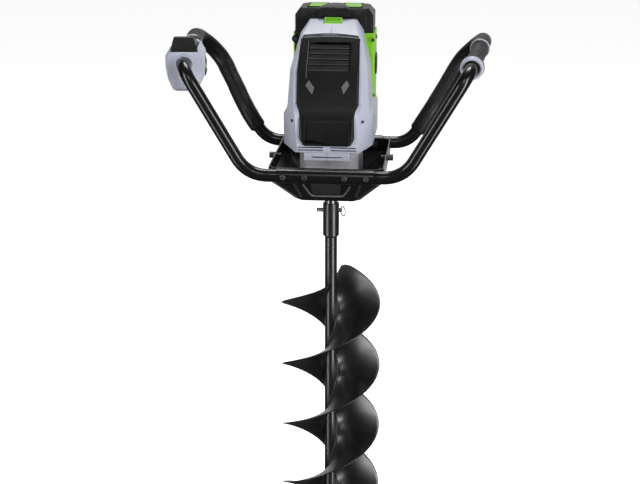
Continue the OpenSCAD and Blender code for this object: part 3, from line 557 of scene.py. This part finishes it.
def make_pads():
    """Foam sleeves with rounded ends, a glued seam, soft lumps and creases inside the bends."""
    path = pad_points()
    frames = carried_frames(path)
    last = len(path) - 1
    # Towards the inside of the bend at each point, longer where it is tighter
    turn = [Vector()]
    turn += [(path[i + 1] - 2 * path[i] + path[i - 1]) / PAD_STEP ** 2 for i in range(1, last)]
    turn.append(Vector())
    for side, sign in (("right", 1), ("left", -1)):
        def radius(i, angle):
            out = math.cos(angle) * frames[i][1] + math.sin(angle) * frames[i][2]
            place = (path[i] + PAD_R * out) * sign
            lumps = (1.0 * MM * noise.noise(place * 24) + 0.4 * MM * noise.noise(place * 62)
                     - 0.6 * MM)
            inside = max(0.0, out.dot(turn[i])) / 22
            waves = 0.5 + 0.5 * math.cos(i * 2.1 + 3 * noise.noise(place * 40))
            creases = -0.75 * MM * inside * waves
            end = min(i, last - i) * PAD_STEP
            rounding = 2.2 * MM * max(0.0, 1 - end / (5 * MM)) ** 2
            seam = -0.9 * MM if abs(angle - 1.25 * math.pi) < 0.05 else 0.0
            return PAD_R - 0.5 * MM + lumps + creases - rounding + seam
        verts, faces = swept(path, radius, PAD_SIDES, caps=False)
        for ring, inward in ((0, -1), (last, 1)):
            # Each end face steps in to the tube
            base = ring * PAD_SIDES
            previous = list(range(base, base + PAD_SIDES))
            for share, push in ((0.62, 0.5), (0.0, 0.1)):
                fresh = list(range(len(verts), len(verts) + PAD_SIDES))
                for k in range(PAD_SIDES):
                    p = verts[base + k] - path[ring]
                    r = (TUBE_R + 0.15 * MM) + share * (p.length - TUBE_R)
                    verts.append(path[ring] + unit(p) * r + inward * push * MM * frames[ring][0])
                for k in range(PAD_SIDES):
                    after = (k + 1) % PAD_SIDES
                    quad = (previous[k], previous[after], fresh[after], fresh[k])
                    faces.append(quad if ring else quad[::-1])
                previous = fresh
        mesh = mesh_from(f"foam_pad_{side}", *for_side(side, verts, faces))
        pad = add_piece(f"foam_pad_{side}", mesh, "frame", "pad_foam", stands_for=[f"pad_{side}"])


def lathe_on_grip(name, profile, sides, side, slot, stands_for=(), knurl=None):
    """A turned piece on the right or left grip. Each profile row is (s, radius, knurl share)."""
    verts = []
    for s, r, share in profile:
        for k in range(sides):
            a = 2 * math.pi * k / sides
            verts.append(on_grip(s, r + (share * knurl(s, a) if share else 0.0), a))
    mesh = mesh_from(name, *for_side(side, verts, grid_faces(len(profile), sides)))
    return add_piece(name, mesh, "frame", slot, stands_for=stands_for)


def plain_rows(start, rows):
    """Profile rows without a knurl from rows of (distance after start, radius) in mm."""
    return [(start + s * MM, r * MM, 0) for s, r in rows]


def knurl_height(s, a):
    """Diamond knurl: small four-sided points that end at the grip's radius."""
    pitch, around = 4.4 * MM, 22
    u = s / pitch + a * around / (2 * math.pi)
    v = s / pitch - a * around / (2 * math.pi)
    return KNURL * min(1.0, 2.6 * min(abs((u % 1) - 0.5), abs((v % 1) - 0.5))) - KNURL


def make_grips():
    """Knurled rubber grips, each with a flange at its front end."""
    bore = TUBE_R + 0.1 * MM
    for side, start, flange_r in (("right", 54 * MM, 23.4 * MM), ("left", 118 * MM, 19.1 * MM)):
        profile = [(start + s * MM, r, 0) for s, r in (
            (0, bore), (0, flange_r - 0.8 * MM), (0.8, flange_r), (3.1, flange_r),
            (3.8, flange_r - 0.8 * MM), (4.0, GRIP_R + 3.2 * MM), (4.8, GRIP_R + 1.0 * MM),
            (6.5, GRIP_R), (9, GRIP_R))]
        rows = round((GRIP_END - start - 18 * MM) / KNURL_STEP)
        profile += [(start + 9 * MM + KNURL_STEP * k, GRIP_R, min(1.0, k / 2, (rows - k) / 2))
                    for k in range(1, rows + 1)]
        profile += [(GRIP_END - s * MM, r, 0) for s, r in (
            (8, GRIP_R), (1.2, GRIP_R), (0.3, GRIP_R - 0.9 * MM), (0, bore + 1 * MM), (0, bore))]
        lathe_on_grip(f"rubber_grip_{side}", profile, 132, side, "grip_rubber", [f"grip_{side}"],
                      knurl_height)


# ---- Trim on the powerhead ----
# Front cover's face and the tray's slanted front, from foot to top: height and y
COVER = mm([(158, -110), (170, -111), (208, -109), (235, -91), (298, -78), (350, -27), (357, -17)])
TRAY_FRONT = mm([(42, -84), (70, -108), (90, -126.4)])
# y where the handle tube enters the throttle housing
THROTTLE_Y = -98 * MM
# The rocker's face from the middle of its box
ROCKER_LIFT = 2.75 * MM
# How deep plates and ribbons reach into the face that they lie on
PLATE_SUNK, RIBBON_SUNK = 0.4 * MM, 0.35 * MM
ARCH_STEPS = 24


def along_profile(profile, z):
    """y at height z on a profile of (z, y) rows, carried on past its ends."""
    for low, high in zip(profile, profile[1:]):
        if z <= high[0] or high is profile[-1]:
            return low[1] + (high[1] - low[1]) * (z - low[0]) / (high[0] - low[0])


def on_profile(profile, x, z, lift=0.0):
    """A point lift off a face whose y follows profile, and the face's normal there."""
    slope = (along_profile(profile, z + MM) - along_profile(profile, z - MM)) / (2 * MM)
    normal = unit(Vector((0, -1, slope)))
    return Vector((x, along_profile(profile, z), z)) + lift * normal, normal


def plate(name, outline, profile, height, inset, slot):
    """A raised plate with sloped edges on a face; outline is (x, z) pairs going round it."""
    centre = Vector((sum(x for x, z in outline), sum(z for x, z in outline), 0)) / len(outline)
    rings = []
    for share, lift in ((0.0, -PLATE_SUNK), (0.0, height * 0.55), (1.0, height)):
        ring = []
        for x, z in outline:
            away = unit(centre - Vector((x, z, 0))) * inset * share
            ring.append(on_profile(profile, x + away.x, z + away.y, lift)[0])
        rings.append(ring)
    return add_piece(name, lofted(name, rings), "frame", slot, smooth=False)


def ribbon(name, route, width, height, slot, body="frame", crown=0.55, smooth=True):
    """A bead along route, a list of (point, normal); crown is the flat top's share of width."""
    section = [(-0.5, -RIBBON_SUNK), (-0.5, height * 0.45), (-0.5 * crown, height),
               (0.5 * crown, height), (0.5, height * 0.45), (0.5, -RIBBON_SUNK)]
    last = len(route) - 1
    rings = []
    for i, (point, normal) in enumerate(route):
        ahead = unit(route[min(i + 1, last)][0] - route[max(i - 1, 0)][0])
        side = unit(ahead.cross(normal))
        rings.append([point + side * width * u + normal * lift for u, lift in section])
    obj = add_piece(name, lofted(name, rings), body, slot, smooth=False)
    if smooth:
        bevelled(obj, min(width, height) * 0.18)
    return obj


def block(name, rings, body, slot, width):
    """A closed body through rings of points, with its edges rounded by width."""
    return bevelled(add_piece(name, lofted(name, rings), body, slot, smooth=False), width, 3, 25)


def turned(name, centre, axis, profile, sides, slot):
    """A turned piece about axis; profile is rows of (distance from centre, radius) in mm."""
    u = across(Vector((0.1, 0.2, 1)), axis)
    v = axis.cross(u)
    angles = [2 * math.pi * k / sides for k in range(sides)]
    rings = [[centre + axis * a * MM + r * MM * (math.cos(t) * u + math.sin(t) * v)
              for t in angles] for a, r in profile]
    piece = add_piece(name, lofted(name, rings), "frame", slot, smooth=False)
    bevelled(piece, 0.25 * MM, angle=25)


def face_route(profile, corners, spacing=3 * MM):
    """Points and normals about spacing apart on a face, along (x, z) corners."""
    flat = resampled([Vector((x, z, 0)) for x, z in corners], spacing)
    return [on_profile(profile, p.x, p.y) for p in flat]


def arch_route(profile, half, z, rise, lift):
    """A route across a face from -half to half, at height z and rise higher in the middle."""
    route = []
    for i in range(ARCH_STEPS + 1):
        x = half * (2 * i / ARCH_STEPS - 1)
        route.append(on_profile(profile, x, z + rise * (1 - (x / half) ** 2), lift))
    return route


def line_route(start, end, normal, steps):
    return [(start.lerp(end, k / steps), normal) for k in range(steps + 1)]


def make_cover_trim():
    """Diamonds, rules, rolled lip and panel edges on the black front cover."""
    for side, outline in (
            ("left", [(-36.3, 281.8), (-26.2, 268.6), (-29.6, 254.3), (-43.2, 271.9)]),
            ("right", [(36.9, 283.1), (26.7, 269.8), (31.1, 256.0), (41.9, 273.3)])):
        painted(plate(f"cover_diamond_{side}", mm(outline), COVER, 1.1 * MM, 0.9 * MM,
                      "vent_black"), "diamond_grey")
    for name, x in (("outer_left", -42.2), ("inner_left", -37.4), ("inner_right", 37.3),
                    ("outer_right", 40.4)):
        ribbon(f"cover_rule_{name}", face_route(COVER, mm([(x, 297), (x, 284)])), 0.7 * MM,
               0.35 * MM, "cover_black")
    # Rolled lip between the cover and the shells above it, of the cover's black but painted light
    # grey as a highlight on its lit top
    lip = arch_route(COVER, 55 * MM, 353.2 * MM, 2.4 * MM, 0.2 * MM)
    painted(ribbon("cover_lip", lip, 2.6 * MM, 1.8 * MM, "cover_black"), "painted_highlight_grey")
    for name, a, b, width, height in (
            ("left", (-41.6, 285), (-41.6, 348.5), 1.6, 0.9),
            ("right", (42.0, 299), (42.0, 348.5), 1.2, 0.8),
            ("bottom", (-40.5, 298.8), (41.0, 298.8), 1.2, 0.7),
            ("top", (-40.5, 347.8), (41.0, 347.8), 1.2, 0.7)):
        edge = ribbon(f"louvre_edge_{name}", face_route(COVER, mm([a, b])), width * MM,
                      height * MM, "louvre_black")
        # The left edge is the same black, painted light grey as a highlight on a lit chamfer
        if name == "left":
            painted(edge, "painted_highlight_grey")
    # Frame of the rib panel
    corners = mm([(-42.6, 162.5), (-42.6, 206.5), (42.6, 206.5), (42.6, 162.5), (-42.6, 162.5)])
    for name, a, b in zip(("left", "top", "right", "bottom"), corners, corners[1:]):
        ribbon(f"rib_panel_edge_{name}", face_route(COVER, [a, b]), 1.4 * MM, 0.7 * MM,
               "grille_black")


def make_louvres():
    """Five slanted slats in the recess at the top of the cover, for the plain slotted panel."""
    low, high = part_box("louvre_panel")
    count, back, half = 5, 5.5 * MM, 39.6 * MM
    foot, head = low.z + 0.6 * MM, high.z - 0.6 * MM
    step = (head - foot) / count
    # One slat's section: share of the step upwards, and depth behind the cover's face
    section = ((0.0, back), (0.02, 1.7 * MM), (0.09, 1.0 * MM), (0.14, 1.3 * MM),
               (0.78, 1.5 * MM), (0.83, back))
    rows = [(foot + i * step + share * step, depth) for i in range(count)
            for share, depth in section]
    rows += [(head, back), (head, back + 3 * MM), (foot, back + 3 * MM)]
    rings = [[on_profile(COVER, side * half, z, -depth)[0] for z, depth in rows]
             for side in (-1, 1)]
    slats = add_piece("louvre_slats", lofted("louvre_slats", rings), "frame", "louvre_black",
                      smooth=False, stands_for=["louvre_panel"])
    bevelled(slats, 0.35 * MM, angle=20)


def make_tray_trim():
    """Pressed bead, panel and ridges on the tray's slanted front, in the tray's black paint but
    painted lighter as highlight and sheen.
    """
    bead = mm([(-44.3, 85.1), (-40.5, 76), (-33.5, 61.5), (-29.5, 56.6), (-24, 55.2), (24, 55.4),
               (31.5, 56.8), (36.0, 61.5), (42.5, 72), (46.6, 82)])
    # The bead is painted grey as a highlight along its crown
    painted(ribbon("tray_bead", face_route(TRAY_FRONT, bead, 2 * MM), 4.2 * MM, 2.8 * MM,
                   "tray_black", crown=0.3), "painted_highlight_grey")
    panel = mm([(-30, 87), (-27, 64), (-24, 61.5), (24, 61.5), (27, 64), (30, 87)])
    # The panel is painted a lighter black as sheen
    painted(plate("tray_panel", panel, TRAY_FRONT, 2.2 * MM, 2.6 * MM, "tray_black"),
            "painted_sheen_black")
    # The ridges are painted a lighter black as a painted reflection of the softbox
    for name, a, b in (("left", (-61.9, 86), (-51.3, 53.1)), ("right", (67.6, 86), (56.4, 55))):
        painted(ribbon(f"tray_ridge_{name}", face_route(TRAY_FRONT, mm([a, b]), 2 * MM), 6.0 * MM,
                       2.4 * MM, "tray_black", crown=0.35), "painted_sheen_black")


def make_gearbox_ribs():
    """Cast ribs on the gearbox's front wall."""
    low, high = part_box("gearbox_housing")
    foot, head, wall = low.z + 24 * MM, high.z - 14 * MM, low.y + 0.2 * MM
    for i, x in enumerate((-38, -27.5, -16.5, -5.5, 5.5, 16.5, 27.5, 38)):
        route = face_route([(foot, wall), (head, wall)], [(x * MM, foot), (x * MM, head)], 6 * MM)
        ribbon(f"gearbox_rib_{i + 1}", route, 3 * MM, 2.6 * MM, "cast_aluminium", crown=0.5)


def make_throttle_trim():
    """Moulded boss with a grey seal where the handle tube enters the throttle housing."""
    face = (THROTTLE_Y - FRONT_Y) / GRIP_DIR.y
    boss = [(3.0, 19.0), (-0.8, 18.4), (-2.6, 17.4), (-3.0, 16.8), (-2.9, 15.4), (-1.8, 14.8),
            (1.2, 14.4), (3.0, 14.3)]
    lathe_on_grip("throttle_boss", plain_rows(face, boss), 64, "left", "throttle_grey")
    seal = [(3.0, 14.5), (-1.4, 14.5), (-1.9, 14.2), (-2.0, 13.6), (-1.6, 13.1), (3.0, 12.9)]
    lathe_on_grip("throttle_seal", plain_rows(face, seal), 64, "left", "collar_grey")


def make_collars():
    """Stepped collar in front of the right grip, and the flange and pale ring behind each grip."""
    collar = [(3.6, 12.85), (3.6, 15.2), (0.6, 17.0), (0.3, 17.4), (0.3, 18.6), (0.0, 19.0),
              (0.1, 20.2), (0.9, 20.9), (3.4, 22.1), (4.2, 22.5), (12.2, 22.5), (12.9, 22.0),
              (12.9, 12.85), (3.6, 12.85)]
    lathe_on_grip("grip_collar", plain_rows(COLLAR_START, collar), 72, "right", "collar_grey",
                  ["collar_right"])
    cone = [(3.5, 15.6), (1.6, 15.2), (1.2, 14.6), (3.3, 12.9), (3.5, 12.86)]
    lathe_on_grip("grip_collar_seal", plain_rows(COLLAR_START, cone), 72, "right", "seal_rubber")
    flange = [(0.05, 12.85), (0.05, 17.6), (0.7, 18.3), (5.6, 18.3), (6.2, 17.7), (6.2, 12.85)]
    ring = [(6.3, 12.85), (6.3, 19.2), (6.9, 19.9), (10.7, 19.9), (11.4, 19.2), (11.4, 16.9),
            (9.9, 15.6), (9.9, 12.85)]
    for side in ("right", "left"):
        first = lathe_on_grip(f"rear_flange_{side}", plain_rows(GRIP_END, flange), 72, side,
                              "grip_rubber")
        lathe_on_grip(f"rear_ring_{side}", plain_rows(GRIP_END, ring), 72, side, "collar_grey")
    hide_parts("rear_collars")


def make_bay_trim():
    """Front corners of the green battery bay with their screw bosses and slots."""
    low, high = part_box("bay_shell_right")
    front, inner = low.y - 0.6 * MM, 56 * MM
    for side, sign, slot in (("right", 1, "bay_green"), ("left", -1, "vent_black")):
        corner = []
        for z, reach in ((low.z + 28 * MM, 0.4 * MM), (low.z + 34 * MM, 0.0),
                         (high.z - 2.5 * MM, 0.0), (high.z, 1.2 * MM)):
            outer = high.x + 0.1 * MM - reach
            ring = [(inner, front + reach), (high.x - 3.4 * MM, front + reach),
                    (outer, front + 3.6 * MM), (outer, front + 9 * MM),
                    (high.x - 1.7 * MM, front + 9 * MM), (high.x - 1.7 * MM, front + 4.2 * MM),
                    (high.x - 4.2 * MM, front + 1.5 * MM), (inner, front + 1.5 * MM)]
            corner.append([Vector((sign * x, y, z)) for x, y in ring])
        block(f"bay_corner_{side}", corner, "frame", slot, 0.5 * MM)
        boss = Vector((sign * (high.x - 3.4 * MM), front, high.z - 13 * MM))
        turned(f"bay_boss_{side}", boss, Y, [(-2.6, 6.2), (-2.2, 6.8), (8, 7.2)], 40, slot)
        turned(f"bay_screw_{side}", boss, Y, [(-3.4, 3.2), (-3.1, 3.9), (0, 3.9)], 32,
               "bolt_black")
        for name, drop in (("upper", 24 * MM), ("lower", 86 * MM)):
            top = Vector((sign * (high.x - 7.5 * MM), front, high.z - drop))
            ribbon(f"bay_groove_{name}_{side}", line_route(top, top - 24 * MM * Z, -Y, 8),
                   2.0 * MM, 0.5 * MM, "latch_green", crown=0.7)
    # Lug at the right bay's foot with a black pin
    lug = Vector((high.x - 0.8 * MM, front + 2 * MM, low.z + 29 * MM))
    turned("bay_lug", lug, Y, [(-3.0, 5.2), (-2.5, 5.8), (6, 5.8)], 36, "bay_green")
    turned("bay_lug_pin", lug, Y, [(-3.9, 2.0), (-3.6, 2.6), (0, 2.6)], 24, "bolt_black")


def make_rear_trim():
    """Parting line, stiffening ribs and screws on the back of the green bay."""
    low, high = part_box("bay_shell_right")
    back, foot, head = high.y - 0.1 * MM, low.z + 26 * MM, high.z - 1.5 * MM
    seam = line_route(Vector((0, back, foot)), Vector((0, back, head)), Y, 12)
    ribbon("bay_seam_rear", seam, 0.8 * MM, 0.2 * MM, "vent_black", smooth=False)
    for side, sign in (("right", 1), ("left", -1)):
        for i in range(6):
            z = head - (26 + 9 * i) * MM
            rib = line_route(Vector((sign * 8 * MM, back, z)), Vector((sign * 48 * MM, back, z)),
                             Y, 5)
            ribbon(f"bay_rib_{side}_{i + 1}", rib, 3.2 * MM, 1.6 * MM, "bay_green", crown=0.5)
        for name, z in (("upper", head - 10 * MM), ("lower", foot + 8 * MM)):
            turned(f"bay_rear_screw_{name}_{side}", Vector((sign * 64 * MM, back, z)), -Y,
                   [(-1.3, 2.2), (-1.1, 3.6), (-0.2, 3.9), (0.6, 3.9)], 32, "bolt_black")


def make_battery_trim():
    """Raised bridge between the battery's two inserts, rims round them, and side rails."""
    low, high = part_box("battery_case")
    top = high.z
    rings = []
    for y, half, foot, head in ((49.6, 24, 385, 1.0), (50.2, 29, 384.4, 2.4), (60, 30, 386, 3.6),
                                (78, 27, 390, 3.4), (112, 13, 392, 2.6), (118, 12, 393, 1.6)):
        shoulder, crown = top - 1.0 * MM + head * 0.5 * MM, top + head * MM
        rings.append([Vector((x * MM, y * MM, z)) for x, z in (
            (-half, foot * MM), (-half, shoulder), (-half + 5, crown), (half - 5, crown),
            (half, shoulder), (half, foot * MM))])
    block("battery_bridge", rings, "battery", "battery_black", 0.8 * MM)
    panel = [[Vector((x * MM, (49.3 - lift) * MM, z * MM)) for x, z in (
        (-22, 397.2), (22, 397.2), (18, 388.2), (-18, 388.2))] for lift in (0.0, 0.5)]
    block("battery_bridge_panel", panel, "battery", "vent_black", 0.2 * MM)
    rim_low, rim_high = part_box("battery_inserts")
    inner, outer = 15.4 * MM, 54.6 * MM
    front, rear = rim_low.y - 1.6 * MM, rim_high.y + 1.6 * MM
    for side, sign in (("right", 1), ("left", -1)):
        foot = Vector((sign * (high.x - 15.5 * MM), low.y + 7.5 * MM, 356 * MM))
        ribbon(f"battery_rail_{side}", line_route(foot, foot + 27 * MM * Z, -Y, 9), 2.6 * MM,
               1.1 * MM, "battery_black", "battery", crown=0.5)
        loop = [Vector((sign * x, y, top)) for x, y in (
            (inner, front), (outer, front), (outer, rear), (inner, rear), (inner, front))]
        for name, a, b in zip(("front", "outer", "rear", "inner"), loop, loop[1:]):
            ribbon(f"insert_rim_{name}_{side}", line_route(a, b, Z, 6), 1.8 * MM, 1.5 * MM,
                   "battery_black", "battery")


def make_latch_trim():
    """Raised frame round the latch's finger recess, and a darker green pad in it as painted shade
    in the recess.
    """
    foot, head = Vector((0, 34.4 * MM, 375.2 * MM)), Vector((0, 45.4 * MM, 382.1 * MM))
    slope = unit(head - foot)
    normal = unit(X.cross(slope))
    half = 15.8 * MM * X
    loop = [foot - half, head - half, head + half, foot + half, foot - half]
    for name, a, b in zip(("left", "top", "right", "bottom"), loop, loop[1:]):
        reach = unit(b - a) * 1.1 * MM
        ribbon(f"latch_rim_{name}", line_route(a - reach, b + reach, normal, 6), 2.6 * MM,
               1.5 * MM, "latch_green", "battery_latch", crown=0.6)
    # Darker green pad that stands for the shade in the recess
    outline = [foot.lerp(head, 0.5) + x * X + y * slope for x, y in mm([
        (-14.4, -5.2), (14.4, -5.2), (14.4, 5.2), (-14.4, 5.2)])]
    pad = [[p + lift * MM * normal for p in outline] for lift in (-0.6, 0.35)]
    painted(block("latch_recess_shade", pad, "battery_latch", "latch_green", 0.3 * MM), "painted_shade_green")


def make_seams():
    """Dark strip above the cover as painted shadow in the gap there, and the parting line of the
    grey shells.
    """
    cap = mm([(357, -17), (379, 42)])
    # A black strip for the shadow in the gap between the cover and the shells
    ribbon("cover_gap_shadow", arch_route(cap, 50 * MM, 357.4 * MM, 2.6 * MM, -0.1 * MM), 3.4 * MM,
           0.5 * MM, "vent_black", crown=0.8)
    seam = [on_profile(cap, 0, z * MM, -0.1 * MM) for z in (360.6, 363, 366, 369)]
    ribbon("shell_seam_top", seam, 0.7 * MM, 0.15 * MM, "vent_black", smooth=False)
    route = [(Vector((0, -94.2 * MM, z * MM)), -Y) for z in (127, 132, 136, 141)]
    ribbon("shell_seam_lip", route, 0.7 * MM, 0.15 * MM, "vent_black", smooth=False)


def make_rocker_trim():
    """Green pad in the middle of the rocker."""
    low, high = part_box("rocker_switch")
    centre = (low + high) / 2
    back = unit(Vector((-GRIP_DIR.x, GRIP_DIR.y, 0)))
    inward = back.cross(Z)
    face = centre + ROCKER_LIFT * inward
    pad = []
    for lift, half in ((-1.6, 4.6), (0.35, 4.6), (0.8, 3.8)):
        pad.append([face + lift * MM * inward + y * MM * back + z * MM * Z
                    for y, z in ((-5.2, -half), (5.2, -half), (5.2, half), (-5.2, half))])
    block("rocker_pad", pad, "rocker", "insert_green", 0.3 * MM)


def make_trigger_coil():
    """Helical spring under the trigger's lever."""
    low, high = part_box("trigger_spring")
    middle = (low + high) / 2
    wire, turns, steps = 0.5 * MM, 5, 120
    reach, rise = (high.x - low.x) / 2 - wire, high.z - low.z - 2 * wire
    path = []
    for k in range(steps + 1):
        turn = 2 * math.pi * turns * k / steps
        path.append(Vector((middle.x + reach * math.cos(turn), middle.y + reach * math.sin(turn),
                            low.z + wire + rise * k / steps)))
    mesh = mesh_from("trigger_coil", *swept(path, wire, 10))
    coil = add_piece("trigger_coil", mesh, "frame", "machined_steel",
                     stands_for=["trigger_spring"])
    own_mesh(coil)


# ---- Bit ----
SHAFT_R = 12.5 * MM
FLIGHT_R = 101.6 * MM
FLIGHT_T = 2.2 * MM
# Rise in one turn, and how much the strip climbs from root to rim
LEAD = 268.7 * MM
CUP = 0.18
# Height of the rim at angle 0, the upper end's angle and the whole sweep in degrees
FLIGHT_ZERO = -201 * MM
FLIGHT_START = 80
FLIGHT_SWEEP = 972
# Radius of the upper end's corner
FLIGHT_CORNER = 22 * MM
FLIGHT_STEPS, WELD_STEPS = 390, 900


def flight_point(angle, radius, lift, turn):
    """A point on a flight: angle in degrees, radius, and lift across the strip's middle surface."""
    steep = LEAD / (2 * math.pi * radius)
    upright = lift * math.sqrt(1 + steep * steep + CUP * CUP)
    a = math.radians(angle + turn)
    z = FLIGHT_ZERO + LEAD * angle / 360 + CUP * (radius - FLIGHT_R) + upright
    return Vector((radius * math.cos(a), radius * math.sin(a), z))


def make_flights():
    """Two flights half a turn apart, and their welds."""
    corner_sweep = math.degrees(FLIGHT_CORNER / FLIGHT_R)
    low = FLIGHT_START - FLIGHT_SWEEP
    steps = [(low + (FLIGHT_SWEEP - corner_sweep) * i / FLIGHT_STEPS, FLIGHT_R)
             for i in range(FLIGHT_STEPS)]
    steps += [(FLIGHT_START - corner_sweep * (1 - math.sin(t)),
               FLIGHT_R - FLIGHT_CORNER * (1 - math.cos(t)))
              for t in (math.radians(q) for q in range(0, 91, 6))]
    shares = [0, 0.05, 0.12, 0.22, 0.35, 0.5, 0.66, 0.82, 0.94, 0.985, 1.0]
    # Out along the strip's lower face and back along its upper one, thinner at the rim
    section = [(share, -1) for share in shares] + [(share, 1) for share in shares[::-1]]
    inner = SHAFT_R - 0.2 * MM
    for name, turn in (("a", 0), ("b", 180)):
        verts = []
        for angle, outer in steps:
            for share, side in section:
                lift = side * FLIGHT_T / 2 * (0.55 if share == 1.0 else 1.0)
                verts.append(flight_point(angle, inner + share * (outer - inner), lift, turn))
        faces = turned_over(capped_faces(len(steps), len(section)))
        mesh = mesh_from(f"auger_flight_{name}", verts, faces)
        add_piece(f"auger_flight_{name}", mesh, "output", "bit_black",
                  stands_for=[f"flight_{name}"])
        make_weld(name, turn, low)


def make_weld(name, turn, low):
    """The wavy weld bead along the upper side of a flight's root."""
    points = []
    for i in range(WELD_STEPS):
        angle = low + 4 + (FLIGHT_SWEEP - 10) * i / (WELD_STEPS - 1)
        points.append(flight_point(angle, SHAFT_R + 0.6 * MM, FLIGHT_T / 2 + 0.7 * MM, turn))
    def radius(i, angle):
        return (1.9 + 0.28 * math.sin(i * 1.35) + 0.2 * noise.noise(points[i] * 300)) * MM
    mesh = mesh_from(f"weld_bead_{name}", *swept(points, radius, 8))
    add_piece(f"weld_bead_{name}", mesh, "output", "bit_black")


MATERIALS = make_materials()
make_camera()
make_floor()
make_lights()
for row in frame["record"]["subparts"]:
    obj = frame["nodes"][row["node"]]
    obj.data.materials.clear()
    obj.data.materials.append(MATERIALS[row["material_slot"]])
make_tubes()
make_pads()
make_grips()
make_collars()
make_throttle_trim()
make_cover_trim()
make_louvres()
make_tray_trim()
make_gearbox_ribs()
make_bay_trim()
make_rear_trim()
make_battery_trim()
make_latch_trim()
make_seams()
make_rocker_trim()
make_trigger_coil()
make_flights()
# Radius in mm of the rounding on each CAD node's edges
SOFTEN_WIDTHS = {
    "front_sleeve": 0.6, "rear_sleeve": 0.6, "frame_bolts": 0.35, "base_tray": 1.2,
    "gearbox_housing": 1.0, "bearing_plate": 0.8, "gearbox_cover": 1.0, "gearbox_screws": 0.3,
    "shell_left": 1.0, "shell_right": 1.0, "front_cover": 1.0, "bay_shell_left": 0.9,
    "bay_shell_right": 0.9, "side_vents": 0.5, "shell_screws": 0.25, "battery_latch": 1.0,
    "battery_case": 1.6, "battery_inserts": 0.6, "throttle_shell_outer": 1.2,
    "throttle_shell_inner": 1.2, "throttle_cap": 1.6, "trigger": 0.9, "rocker_switch": 0.6,
    "lock_button": 0.5, "bit_shaft": 0.5, "output_spindle": 0.5, "blade_seats": 0.6,
    "cutting_blades": 0.2, "blade_screws": 0.3, "hitch_pin": 0.5, "motor_case": 1.0}
for name, width in SOFTEN_WIDTHS.items():
    soften(name, width * MM)
